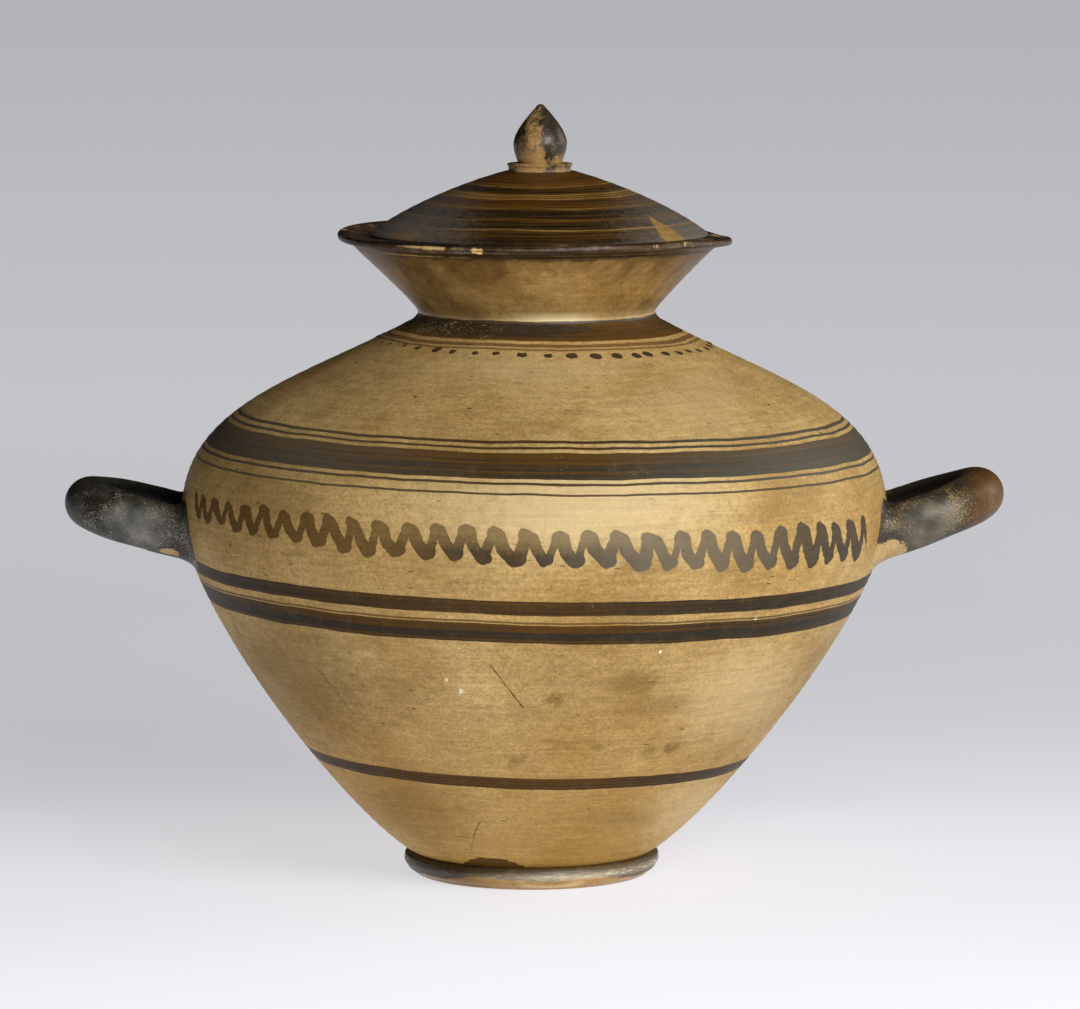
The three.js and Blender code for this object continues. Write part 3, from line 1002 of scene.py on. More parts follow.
    def make(self) -> bpy.types.Material:
        """Makes the material.

        Returns:
            The painted wall's material.
        """
        material, put, mm = start_material("painted buff earthenware")
        x, y, z = put("SeparateXYZ", mm).node.outputs
        radius = put("VectorMath.LENGTH", put("CombineXYZ", x, y, 0.0))
        front = put("Math.ARCTAN2", x, put("Math.MULTIPLY", y, -1.0))
        spot = put("CombineXYZ", put("Math.MULTIPLY", front, radius), z, 0.0)
        clay = self._stains_and_painted_light(put, spot, self.clay.lay(put, mm))
        unsteady = stray(put, mm, self.hand_mm, 0.38, 3.0)
        tilt = put("MapRange", z, *self.tilt_zone, *self.tilts)
        level = put("Math.ADD", put("Math.MULTIPLY_ADD", x, tilt, z), unsteady)
        cover, tone = self._bands(put, level)
        right = put("MapRange", front, 0.1, 0.6, 0.0, 0.5)
        right = fade(put, right, z, *self.neck_zone, 1.0, -1.3)
        left = put("MapRange", front, -0.9, -0.4, 0.4, 0.0)
        low = put("MapRange", z, *self.belly_zone, 1.0, 0.0)
        load = put("Math.ADD", right, put("Math.MULTIPLY", left, low))
        tone = put("Math.ADD", tone, put("Math.MULTIPLY", load, cover))
        wave_cover, wave_tone = self._brushed_wave(put, mm)
        root_cover = self._handle_slip(put, mm)
        tone = put("Math.MAXIMUM", tone, wave_tone)
        tone = put("Math.MAXIMUM", tone, put("Math.MULTIPLY", root_cover, 0.95))
        cover = put("Math.MAXIMUM", put("Math.MAXIMUM", cover, wave_cover), root_cover)
        fray = stray(put, mm, self.fray_mm, 0.5, 3.0)
        for mark in WALL_MARKS:
            ends = wall_place(*mark.start), wall_place(*mark.end)
            apart = put("Group", spot, *ends, node_tree=stroke_tree())
            apart = put("Math.MULTIPLY_ADD", fray, min(mark.width, 0.4), apart)
            line = put("MapRange", apart, mark.width - 0.2, mark.width, mark.cover, 0.0)
            cover = put("Math.MAXIMUM", cover, line)
            tone = put("Math.MAXIMUM", tone, put("Math.MULTIPLY", line, mark.tone))
        outside = put("Attribute", attribute_name=OUTSIDE, out="Fac")
        cover = put("Math.MULTIPLY", cover, outside)
        worn = put("MapRange", put("Math.MULTIPLY_ADD", x, -0.25, z), *self.wear_zone, 0.46, 0.85)
        surface = self.slip.lay(put, mm, clay, cover, tone, worn)
        # Dust and painted sheen: the upper band greys towards both sides; the wave greys right of
        # the front.
        dusty = put("MapRange", put("Math.ABSOLUTE", x), *self.sheen_reach, 0.0, 0.3)
        dusty = fade(put, dusty, z, *self.band_sheen_zone, 0.0, cover)
        dusty = fade(put, dusty, z, *self.neck_zone, 1.0, 0.15)
        grey = fade(put, wave_cover, x, 0.0, 45.0, 0.0, 0.5)
        grey = fade(put, grey, x, 80.0, 120.0, 1.0, 0.25)
        dusty = put("Math.MAXIMUM", dusty, grey)
        colour = put("Mix.RGBA", dusty, surface.colour, linear(self.dust))
        end_material(put, surface.tinted(colour), self.gloss)
        return material


@dataclass(frozen=True)
class BurnishedNeck:
    """Clay of the neck, burnished with a pebble: glossier than the wall, browner under the lip and
    towards both sides, with a painted highlight at its foot.
    """

    clay: BuffClay = BuffClay(
        pale="#c4a468", deep="#a5803f", stain="#6f4f1f", stain_mm=16.0, stained=0.6, rough=0.36,
    )
    slip: BrushedSlip = BrushedSlip()
    under_lip_brown: str = "#5d3f15"
    smear_mm: float = 13.0
    under_lip_zone: Pair = (270.0, 286.0)
    highlight_foot: Pair = (255.6, 256.4)
    highlight_top: Pair = (257.4, 260.6)
    edge_mm: float = 12.0
    # Colour of the painted highlight at the neck's foot.
    rubbed: str = "#efd9a6"
    band_top: float = 255.9
    slip_foot: float = 284.9
    gloss: float = 0.6

    def make(self) -> bpy.types.Material:
        """Makes the material of the neck.

        Returns:
            The neck's material.
        """
        material, put, mm = start_material("burnished buff earthenware")
        x, _, z = put("SeparateXYZ", mm).node.outputs
        clay = self.clay.lay(put, mm)
        # Brown smears, thicker near the lip and towards both sides.
        hanging = put("VectorMath.MULTIPLY", mm, (1.0, 1.0, 0.55))
        smear = put("TexNoise", hanging, 1 / self.smear_mm, 6.0, 0.66)
        high = put("MapRange", z, *self.under_lip_zone, 0.0, 0.24)
        aside = put("MapRange", x, -43.0, 12.0, 0.1, -0.06)
        aside = put("Math.MAXIMUM", aside, put("MapRange", x, 20.0, 55.0, -0.06, 0.1))
        share = put("Math.ADD", put("Math.ADD", smear, high), aside)
        share = put("MapRange", share, 0.5, 0.8, 0.0, 0.82)
        colour = put("Mix.RGBA", share, clay.colour, linear(self.under_lip_brown))
        edge = stray(put, mm, self.edge_mm, 0.4, 5.0, 0.65)
        outside = put("Attribute", attribute_name=OUTSIDE, out="Fac")
        level = put("Math.ADD", z, edge)
        cover = put("MapRange", level, self.band_top - 0.15, self.band_top + 0.15, 0.95, 0.0)
        cover = put("Math.MULTIPLY", outside, cover)
        # Painted highlight: a pale ring at the neck's foot, right of the front.
        ring = fade(put, put("MapRange", z, *self.highlight_foot), z, *self.highlight_top, 0.85, 0.0)
        ring = fade(put, ring, x, -14.0, 4.0, 0.1, 1.0)
        ring = fade(put, ring, x, 18.0, 30.0, 1.0, 0.15)
        colour = put("Mix.RGBA", ring, colour, linear(self.rubbed))
        level = put("Math.MULTIPLY_ADD", edge, 3.0, z)
        over = put("MapRange", level, self.slip_foot - 0.5, self.slip_foot + 0.5, 0.0, 0.8)
        cover = put("Math.MAXIMUM", cover, put("Math.MULTIPLY", over, outside))
        worn = put("MapRange", x, -45.0, 0.0, 0.75, 0.4)
        surface = self.slip.lay(put, mm, clay.tinted(colour), cover, 0.8, worn)
        end_material(put, surface, self.gloss)
        return material


@dataclass(frozen=True)
class LipSlip:
    """Slip on the lip, rubbed along its edge; the clay shows under the overhang and in a chip. Fine
    level lines are painted as glints and groove shade.
    """

    clay: BuffClay = BuffClay()
    slip: BrushedSlip = BrushedSlip(
        thin="#4a3113", thick="#1b1610", bloom="#8e836e", rough=0.36, dust=0.45,
    )
    under_height: float = 284.8
    rub_height: float = 290.6
    tilt: float = 0.017
    edge_mm: float = 5.0
    patch_mm: float = 17.0
    line_mm: float = 0.9
    line_run_mm: float = 70.0
    gloss: float = 0.3
    bare: tuple[tuple[Numbers, Numbers, float, float], ...] = (
        ((-26.4, -84.5, 289.6), (-23.6, -85.4, 289.2), 1.35, 0.05),
        ((-60.0, -66.0, 290.5), (-50.0, -73.6, 290.5), 0.7, 0.3),
        ((-51.0, -73.2, 290.5), (-40.0, -79.6, 290.5), 1.1, 0.1),
        ((-36.0, -81.4, 290.6), (-29.0, -84.2, 290.6), 0.5, 0.4),
    )

    def make(self) -> bpy.types.Material:
        """Makes the material.

        Returns:
            The lip's material.
        """
        material, put, mm = start_material("slipped lip, rubbed at the edge")
        x, _, z = put("SeparateXYZ", mm).node.outputs
        clay = self.clay.lay(put, mm)
        tilted = put("Math.MULTIPLY_ADD", x, self.tilt, z)
        ragged = stray(put, mm, self.edge_mm, 0.5, 4.0, 0.6)
        level = put("Math.ADD", tilted, ragged)
        cover = put("MapRange", level, self.under_height, self.under_height + 0.5)
        patch = put("MapRange", put("TexNoise", mm, 1 / self.patch_mm, 3.0, 0.6), 0.5, 0.64)
        rub = put("MapRange", level, self.rub_height - 0.4, self.rub_height + 0.4)
        wear = put("Math.MULTIPLY_ADD", put("Math.MULTIPLY", patch, rub), 0.75, 0.36)
        for start, end, half, left in self.bare:
            apart = put("Math.ADD", put("Group", mm, start, end, node_tree=stroke_tree()), ragged)
            sound = put("MapRange", apart, half - 0.4, half + 0.3, left, 1.0)
            cover = put("Math.MULTIPLY", cover, sound)
        surface = self.slip.lay(put, mm, clay, cover, 0.6, wear)
        # Fine level lines: grooves in the height, and painted glints and painted groove shade in
        # the colour.
        along = 1 / self.line_run_mm
        stretch = put("VectorMath.MULTIPLY", mm, (along, along, 1 / self.line_mm))
        lines = put("TexNoise", stretch, 1.0, 3.0, 0.6)
        painted_glint_and_shade = put("MapRange", lines, 0.38, 0.62, 0.35, 2.3)
        colour = put("VectorMath.SCALE", surface.colour, painted_glint_and_shade)
        height = put("Math.MULTIPLY_ADD", lines, 0.3, surface.height)
        end_material(put, Surface(colour, surface.rough, height), self.gloss)
        return material


@dataclass(frozen=True)
class HandleSlip:
    """Thick dark slip on a coil, worn to a dusty speckle, with rust where it fired thin, painted
    sheen along the front of the near arm and painted shade inside the loop.

    A bare place lies under the front root, from and to a point in mm, with its half width.
    """

    name: str
    wear: float
    rust: float
    bare: tuple[Place, Place, float]
    speck: str
    painted_sheen: str
    slip: BrushedSlip
    clay: BuffClay = BuffClay(pale="#cdb27c", deep="#b6935a")
    rust_zone: Pair = (196.0, 212.0)
    sheen_zone: Pair = (162.0, 178.0)
    sheen_side: Pair = (-30.0, -37.5)
    cloud_mm: float = 16.0
    edge_mm: float = 5.0
    speck_mm: float = 0.7
    gloss: float = 0.3

    def make(self) -> bpy.types.Material:
        """Makes the material of one handle and its roots.

        Returns:
            The handle's material.
        """
        material, put, mm = start_material(self.name)
        x, y, _ = put("SeparateXYZ", mm).node.outputs
        out = put("Math.ABSOLUTE", x)
        clay = self.clay.lay(put, mm)
        cloud = put("TexNoise", mm, 1 / self.cloud_mm, 3.0, 0.55)
        outer = put("MapRange", y, -24.0, 0.0, 0.12, -0.06)
        wear = put("MapRange", cloud, 0.35, 0.65, self.wear - 0.2, self.wear + 0.25)
        wear = put("Math.ADD", wear, outer)
        far = put("Math.MULTIPLY_ADD", cloud, 14.0, out)
        end = put("MapRange", far, *self.rust_zone, 0.0, self.rust)
        tone = put("Math.SUBTRACT", 1.0, end, use_clamp=True)
        ragged = stray(put, mm, self.edge_mm, 1.5, 5.0, 0.7)
        start, stop, half = self.bare
        apart = put("Math.ADD", put("Group", mm, start, stop, node_tree=stroke_tree()), ragged)
        cover = put("MapRange", apart, half, half + 0.5, 0.0, 0.98)
        surface = self.slip.lay(put, mm, clay, cover, tone, wear)
        # Painted sheen: a paler band along the front of the near arm, patchy, and faint near the
        # wall.
        sheen_band = put("MapRange", y, *self.sheen_side)
        sheen_band = fade(put, sheen_band, cloud, 0.36, 0.62, 0.15, 0.8)
        sheen_band = fade(put, sheen_band, out, *self.sheen_zone, 0.15, 1.0)
        colour = put("Mix.RGBA", sheen_band, surface.colour, linear(self.painted_sheen))
        speck = put("TexNoise", mm, 1 / self.speck_mm, 3.0, 0.8)
        dense = put("Math.MULTIPLY_ADD", put("Math.ADD", cloud, outer), 0.45, speck)
        specks = put("MapRange", dense, 0.89 - 0.1 * self.wear, 0.94, 0.0, 0.85)
        colour = put("Mix.RGBA", specks, colour, linear(self.speck))
        # Painted shade: darker where the coil faces the inside of the loop.
        hollow = put("Attribute", attribute_name=LOOP_SHADE, out="Fac")
        colour = put("VectorMath.SCALE", colour, put("MapRange", hollow, 0.2, 0.65, 1.0, 0.12))
        end_material(put, surface.tinted(colour), self.gloss)
        return material


DARK_COIL = HandleSlip(
    "slipped coil, dark and speckled", 0.1, 0.0,
    ((-163.0, -35.0, 150.0), (-177.0, -35.5, 147.6), 2.8), "#b8b199", "#94928b",
    BrushedSlip(
        thin="#4a3a1c", thick="#1c1d19", bloom="#66625a", rough=0.42, streak_mm=9.0, swing=0.06,
        dust=0.65,
    ),
)
RUSTY_COIL = HandleSlip(
    "slipped coil, rubbed and rusty", 0.3, 0.9, ((156.0, -35.5, 148.2), (161.5, -36.5, 147.4), 7.9),
    "#b59a66", "#97907e",
    BrushedSlip(
        thin="#5f3b08", thick="#20201d", bloom="#7d6231", rough=0.42, streak_mm=9.0, swing=0.06,
        dust=0.55,
    ),
)
# Heights on the lid with how dark the slip is there.
LID_TONES = (
    (291.5, 0.9), (293.2, 0.9), (294.6, 0.5), (295.6, 0.75), (297.0, 0.45), (298.2, 0.85),
    (300.4, 0.75), (301.6, 0.35), (302.6, 0.95), (304.8, 0.95), (305.6, 0.3), (307.2, 0.15),
    (308.8, 0.55), (309.6, 0.2), (311.8, 0.2), (312.4, 0.8), (313.4, 0.7), (314.2, 0.15),
    (315.6, 0.1), (317.2, 0.4), (318.2, 0.1), (320.2, 0.4),
)
# Worn lines on the lid: height, half width and how bare each is.
LID_LINES = (
    (297.3, 0.3, 0.75), (301.6, 0.2, 0.3), (306.1, 0.35, 0.4), (309.95, 0.3, 0.85),
    (310.75, 0.25, 0.6), (311.45, 0.3, 0.8), (314.6, 0.3, 0.55), (315.4, 0.2, 0.3),
)


@dataclass(frozen=True)
class LidSlip:
    """Slip brushed on the lid as it turned: level streaks of brown and black with worn places,
    greying on the flanks with dust and painted sheen.
    """

    clay: BuffClay = BuffClay(pale="#c19a5b", deep="#a07a3f")
    slip: BrushedSlip = BrushedSlip(
        thin="#5a3706", thick="#100b05", bloom="#5a5040", streak_mm=0.45, fleck_mm=0.9, swing=0.62,
    )
    # Grey of the dust and painted sheen on the flanks.
    dust: str = "#989389"
    low: float = 290.0
    high: float = 321.0
    bare_flank: tuple[Numbers, ...] = ((51.0, -37.0, 303.0), (61.5, -45.5, 292.0))
    rubbed_edge: tuple[Numbers, ...] = ((-66.0, -36.0, 293.6), (-54.0, -50.0, 294.2))
    hand_mm: float = 60.0
    broken_mm: float = 22.0
    edge_mm: float = 4.0
    flank_grain_mm: float = 3.0
    sheen_reach: Pair = (26.0, 70.0)
    gloss: float = 0.14

    def make(self) -> bpy.types.Material:
        """Makes the material.

        Returns:
            The lid's material.
        """
        material, put, mm = start_material("slipped lid, brushed on the wheel")
        x, _, z = put("SeparateXYZ", mm).node.outputs
        clay = self.clay.lay(put, mm)
        unsteady = stray(put, mm, self.hand_mm, 0.5, 2.0)
        level = put("Math.ADD", z, unsteady)
        share = put("MapRange", level, self.low, self.high)
        span = self.high - self.low
        tone, lines = put("ValToRGB", share), put("ValToRGB", share)
        set_stops(
            tone.node.color_ramp,
            [((line - self.low) / span, (dark, dark, dark, 1.0)) for line, dark in LID_TONES],
        )
        stops = []
        for line, half, bare in LID_LINES:
            for k, v in ((-1, 0.0), (-0.4, bare), (0.4, bare), (1, 0.0)):
                stops.append(((line + half * k - self.low) / span, (v, v, v, 1.0)))
        set_stops(lines.node.color_ramp, stops)
        broken = put("MapRange", put("TexNoise", mm, 1 / self.broken_mm, 3.0), 0.35, 0.6, 0.35, 1.0)
        lines = put("Math.MULTIPLY", lines, broken)
        ragged = stray(put, mm, self.edge_mm, 2.6, 7.0, 0.75)
        flank = put("Group", mm, *self.bare_flank, node_tree=stroke_tree()).node.outputs
        width = put("Math.MULTIPLY_ADD", flank["Along"], 7.5, 0.8)
        apart = put("Math.SUBTRACT", put("Math.ADD", flank["Distance"], ragged), width)
        sound = put("MapRange", apart, -1.2, 0.6, 0.15, 1.0)
        edge = put("Group", mm, *self.rubbed_edge, node_tree=stroke_tree())
        edge = put("MapRange", put("Math.ADD", edge, ragged), -1.0, 5.0, 0.25, 1.0)
        sound = put("Math.MULTIPLY", sound, edge)
        cover = put("Math.MULTIPLY", put("Math.MULTIPLY_ADD", lines, -1.0, 0.97), sound)
        outside = put("Attribute", attribute_name=OUTSIDE, out="Fac")
        cover = put("Math.MULTIPLY", cover, outside)
        surface = self.slip.lay(put, mm, clay, cover, tone, 0.34)
        # Dust and painted sheen: the flanks turn grey away from the middle.
        grain = stray(put, mm, self.flank_grain_mm, 16.0, 8.0, 0.85)
        flank = put("Math.ADD", grain, put("Math.ABSOLUTE", put("Math.SUBTRACT", x, 5.0)))
        dusty = fade(put, cover, flank, *self.sheen_reach, 0.0, 0.5)
        colour = put("Mix.RGBA", dusty, surface.colour, linear(self.dust))
        end_material(put, surface.tinted(colour), self.gloss)
        return material


@dataclass(frozen=True)
class KnobSlip:
    """Slip on the knob, handled so often that broad patches of clay show through."""

    clay: BuffClay = BuffClay(pale="#c39b60", deep="#a67d48", wipe_mm=0.8)
    slip: BrushedSlip = BrushedSlip(
        thin="#3c2a14", thick="#161410", bloom="#8b8676", rough=0.3, streak_mm=1.5, dust=0.3,
    )

    def make(self) -> bpy.types.Material:
        """Makes the material of the knob and its disc.

        Returns:
            The knob's material.
        """
        material, put, mm = start_material("slipped knob, worn by hands")
        x, y, z = put("SeparateXYZ", mm).node.outputs
        clay = self.clay.lay(put, mm)
        patch = put("TexNoise", mm, 1 / 8.0, 10.0, 0.85)
        low = put("MapRange", z, 322.0, 332.0, 0.2, 0.0)
        front = put("MapRange", x, -8.0, -1.0, 0.0, 1.0)
        front = fade(put, front, x, 2.5, 6.5, 0.14, 0.0)
        front = fade(put, front, y, -4.0, 4.0, 1.0, 0.0)
        worn = put("Math.ADD", put("Math.ADD", patch, low), front)
        disc = put("MapRange", z, 323.3, 323.7, 0.06, 0.0)
        worn = put("Math.SUBTRACT", worn, disc)
        cover = put("MapRange", worn, 0.56, 0.68, 0.97, 0.08)
        end_material(put, self.slip.lay(put, mm, clay, cover, 0.75, 0.25))
        return material


@dataclass(frozen=True)
class FootSlip:
    """Slip wiped round the foot's bulge, rubbed off below where the jar was slid about; with
    painted sheen on the ridge, a painted glint below it and painted shade on its left.
    """

    clay: BuffClay = BuffClay(pale="#cf9d4a", deep="#a8752c", wipe_mm=0.7, rough=0.27)
    slip: BrushedSlip = BrushedSlip(
        thin="#523f1a", thick="#24211a", bloom="#9b8c70", rough=0.4, streak_mm=0.5, swing=0.6,
        dust=0.4,
    )
    # Colour of the pale scratches and of the painted sheen on the ridge.
    scratch_and_sheen: str = "#dccfb2"
    # Colour of the painted glint.
    painted_sheen: str = "#f3d999"
    edge: float = 5.6
    ridge: float = 6.3
    painted_glint: tuple[Numbers, ...] = ((-9.0, -55.6, 3.2), (24.0, -50.8, 3.2))
    gloss: float = 0.5

    def make(self) -> bpy.types.Material:
        """Makes the material.

        Returns:
            The foot's material.
        """
        material, put, mm = start_material("slipped foot, rubbed at the rest")
        x, y, z = put("SeparateXYZ", mm).node.outputs
        clay = self.clay.lay(put, mm)
        unsteady = stray(put, mm, 16.0, 1.2, 4.0, 0.6)
        aside = put("MapRange", put("Math.ABSOLUTE", x), 28.0, 55.0, 0.0, 4.0)
        level = put("Math.ADD", put("Math.ADD", z, unsteady), aside)
        outside = put("Attribute", attribute_name=OUTSIDE, out="Fac")
        cover = put("MapRange", level, self.edge - 0.5, self.edge + 0.5, 0.0, 0.9)
        cover = put("Math.MULTIPLY", cover, outside)
        surface = self.slip.lay(put, mm, clay, cover, 0.6, 0.55)
        turned = put("Math.ARCTAN2", x, y)
        lengths = put("CombineXYZ", turned, 0.0, z)
        lengths = put("VectorMath.MULTIPLY", lengths, (9.0, 0.0, 1.6))
        scrape = put("TexNoise", lengths, 1.0, 6.0, 0.75)
        # Painted sheen: the ridge is paler across its front, over the scratches.
        middle = put("MapRange", x, -30.0, 2.0, 0.0, 0.5)
        middle = fade(put, middle, x, 25.0, 45.0, 1.0, 0.4)
        scrape = fade(put, scrape, x, -50.0, -8.0, 0.88, 1.0)
        shown = put("Math.ADD", put("MapRange", scrape, 0.5, 0.62, 0.0, 0.75), middle)
        ridge = put("Math.ABSOLUTE", put("Math.SUBTRACT", z, self.ridge))
        shown = fade(put, shown, ridge, 0.4, 2.3, 1.0, 0.06)
        colour = put("Mix.RGBA", shown, surface.colour, linear(self.scratch_and_sheen))
        # Painted glint: a pale streak along the clay below the bulge, at the front.
        along = put("Group", mm, *self.painted_glint, node_tree=stroke_tree()).node.outputs
        apart = along["Distance"]
        painted_glint = put("MapRange", apart, 0.8, 2.8, 1.0, 0.0, interpolation_type="SMOOTHSTEP")
        ends = put("Math.SINE", put("Math.MULTIPLY", along["Along"], math.pi))
        painted_glint = put("Math.MULTIPLY", painted_glint, ends)
        colour = put("Mix.RGBA", painted_glint, colour, linear(self.painted_sheen))
        # Painted shade: the foot darkens towards its left.
        colour = put("VectorMath.SCALE", colour, put("MapRange", x, -40.0, 6.0, 0.5, 1.0))
        end_material(put, surface.tinted(colour), self.gloss)
        return material


@dataclass(frozen=True)
class DabSlip:
    """Single dabs of slip, thick and dark in the middle and brown at their edges."""

    clay: BuffClay = BuffClay()
    slip: BrushedSlip = BrushedSlip(thin="#4a2f17", thick="#2a2018", rough=0.42, streak_mm=3.0)

    def make(self) -> bpy.types.Material:
        """Makes the material of the dabs.

        Returns:
            The dabs' material.
        """
        material, put, mm = start_material("dabs of slip")
        clay = self.clay.lay(put, mm)
        cloud = put("TexNoise", mm, 1 / 2.4, 3.0, 0.6)
        tone = put("MapRange", cloud, 0.35, 0.65, 0.35, 0.95)
        end_material(put, self.slip.lay(put, mm, clay, 0.97, tone, 0.2))
        return material


# Sub-assemblies


@dataclass
class ThrownJar:
    """The jar thrown on the wheel: foot, bowl, shoulder, neck and lip, in mm and degrees."""

    foot_radius: float = 57.8
    foot_height: float = 10.4
    foot_inner: float = 45.3
    foot_rest: float = 52.0
    foot_rise: Pair = (54.4, 1.4)
    crease: float = 55.0
    belly: float = 160.0
    widest: float = 164.6
    wall: float = 6.0
    bowl_lean: float = 32.2
    bowl_pulls: Pair = (39.0, 37.3)
    shoulder_lean: float = 28.5
    shoulder_pulls: Pair = (49.5, 60.0)
    turn_start: Pair = (57.6, 252.1)
    throat: float = 53.8
    throat_level: float = 256.6
    neck_foot: float = 254.6
    neck_turn: float = 2.6
    neck_top: float = 81.3
    neck_top_inner: float = 72.64
    lip_level: float = 285.6
    mouth: float = 78.89
    mouth_level: float = 291.6
    lip_nose: float = 87.6
    nose_level: float = 289.7
    nose_half: float = 1.7
    lip_crown: float = 84.0
    ridge: float = 0.1
    neck_ridge: float = 0.04

    def bowl_outer(self) -> np.ndarray:
        """Gives the bowl's outer profile, from the crease up.

        Returns:
            Points of radius and height.
        """
        start, end = np.array([self.crease, self.foot_height]), np.array([self.belly, self.widest])
        low, high = self.bowl_pulls
        return bend(1.2, start, start + heading(self.bowl_lean, low), end - (0, high), end)

    def shoulder_outer(self) -> np.ndarray:
        """Gives the shoulder's outer profile, from the belly up to the throat.

        Returns:
            Points of radius and height.
        """
        start, end = np.array([self.belly, self.widest]), np.array(self.turn_start)
        low, high = self.shoulder_pulls
        climb = heading(180 - self.shoulder_lean, 1)
        corner = end + climb * (end[0] - self.throat) / -climb[0]
        slope = bend(1.2, start, start + (0, low), end - climb * high, end)
        turn = bend(0.4, end, corner, (self.throat, self.throat_level))
        return np.vstack([slope, turn[1:]])

    def _foot(self) -> Runs:
        """Gives the foot's closed profile.

        Returns:
            Its runs, in order.
        """
        top, inner, edge = self.foot_height, self.foot_inner, self.foot_radius
        bulge = bend(0.5, (self.crease, top), (edge + 1.4, top), (edge + 1.6, 4.3), self.foot_rise)
        rest = bend(0.4, self.foot_rise, (self.foot_rest + 1.3, 0.0), (self.foot_rest, 0.0))
        return [
            (bend(2, (inner, top), (self.crease, top)), 0), (bulge, 1), (rest, 1),
            (bend(2, (self.foot_rest, 0), (inner + 1, 0)), 0),
            (bend(0.5, (inner + 1, 0), (inner, 0), (inner, 1)), 0),
            (bend(2, (inner, 1), (inner, top)), 0),
        ]

    def _bowl(self) -> Runs:
        """Gives the bowl's closed profile, from the axis underneath to the axis inside.

        Returns:
            Its runs, in order.
        """
        outer = self.bowl_outer()
        inside = inner_face(outer, self.wall)[::-3]
        inside[0] = (self.belly - self.wall, self.widest)
        floor = inside[-1]
        return [
            (bend(4, (0, self.foot_height), outer[0]), 0), (outer, 1), (inside, 0),
            (bend(4, floor, (0, floor[1])), 0),
        ]

    def _throat_faces(self) -> tuple[np.ndarray, np.ndarray, int]:
        """Gives the shoulder's outer and inner profiles and the row where the neck takes over.

        Returns:
            The outer profile, the inner profile and that row's number.
        """
        outer = self.shoulder_outer()
        inside = inner_face(outer, self.wall)
        inside[0] = (self.belly - self.wall, self.widest)
        inside[-1] = (self.throat - self.wall, self.throat_level)
        return outer, inside, int(np.searchsorted(outer[:, 1], self.neck_foot))

    def _shoulder(self) -> Runs:
        """Gives the shoulder's closed profile."""
        outer, inside, seam = self._throat_faces()
        return [(outer[: seam + 1], 1), (inside[seam::-1], 0), (outer[:1], 1)]

    def _neck(self) -> Runs:
        """Gives the neck's closed profile, with the rounding at its foot.

        Returns:
            Its runs, in order.
        """
        below, below_inside, seam = self._throat_faces()
        low, high, throat = self.throat_level, self.lip_level, self.throat
        outer = bend(0.7, (throat, low), (throat, low + self.neck_turn), (self.neck_top, high))
        run = (self.mouth - self.neck_top_inner) / (self.mouth_level - high)
        inner = throat - self.wall
        knee = (inner, high - (self.neck_top_inner - inner) / run)
        inside = bend(1.6, (inner, low), knee, (self.neck_top_inner, high))[::-1]
        foot, foot_inside = below[seam:], below_inside[seam:]
        return [(foot, 1), (outer, 1), (inside, 0), (foot_inside[::-1], 0), (foot[:1], 1)]

    def _lip(self) -> Runs:
        """Gives the lip's closed profile.

        Returns:
            Its runs, in order.
        """
        angles = np.linspace(-math.pi / 2, math.pi / 2, 13)
        nose = np.array([self.lip_nose, self.nose_level])
        nose = nose + self.nose_half * np.column_stack([np.cos(angles), np.sin(angles)])
        root, inner = (self.neck_top, self.lip_level), (self.neck_top_inner, self.lip_level)
        under = bend(0.5, root, (self.neck_top + 2.2, self.lip_level + 1.6), nose[0])
        mouth, level = self.mouth, self.mouth_level
        top = bend(0.6, nose[-1], (self.lip_crown, level - 0.25), (mouth + 1.2, level))
        edge = bend(0.3, top[-1], (mouth, level), (mouth - 1.25, level - 1.2))
        return [
            (bend(2, inner, root), 0), (under, 1), (nose, 1), (top, 1), (edge, 1),
            (bend(1, edge[-1], inner), 0),
        ]

    def build(self, wheel: Wheel, settling: Settling) -> None:
        """Turns the five pieces, dresses them and dabs the dots on the shoulder.

        Args:
            wheel: the turning tree.
            settling: how the jar leaned.
        """
        wall = PaintedWall().make()
        for name, profile, clay, slot, node in (
            ("thrown_foot", self._foot(), FootSlip().make(), Slot.FOOT, "foot_ring"),
            ("thrown_bowl", self._bowl(), wall, Slot.WALL, "lower_bowl"),
            ("thrown_shoulder", self._shoulder(), wall, Slot.WALL, "shoulder"),
            ("thrown_neck", self._neck(), BurnishedNeck().make(), Slot.WALL, "neck"),
            ("thrown_lip", self._lip(), LipSlip().make(), Slot.RIM, "rim_lip"),
        ):
            ridge = self.neck_ridge if name == "thrown_neck" else self.ridge
            piece = wheel.turn(name, profile, clay, settling.jar, ridge=ridge)
            hand_over(piece, Body.JAR, slot, node)
        hand_over(Dabs().build(settling, DabSlip().make()), Body.JAR, Slot.WALL)


JAR = ThrownJar()
WALL_PROFILE = np.vstack([JAR.bowl_outer(), JAR.shoulder_outer()[1:]])


def wall_radius(height: Any) -> Any:
    """Gives the wall's outer radius in mm at a height in mm."""
    return np.interp(height, WALL_PROFILE[:, 1], WALL_PROFILE[:, 0])


def wall_slope(height: Any) -> Any:
    """Gives how much the wall's radius grows for each mm of height."""
    return wall_radius(height + 0.5) - wall_radius(height - 0.5)


def wall_place(angle: float, height: float) -> Place:
    """Gives a place on the unrolled wall in mm, from degrees off the front and a height."""
    return (math.radians(angle) * wall_radius(height), height, 0.0)


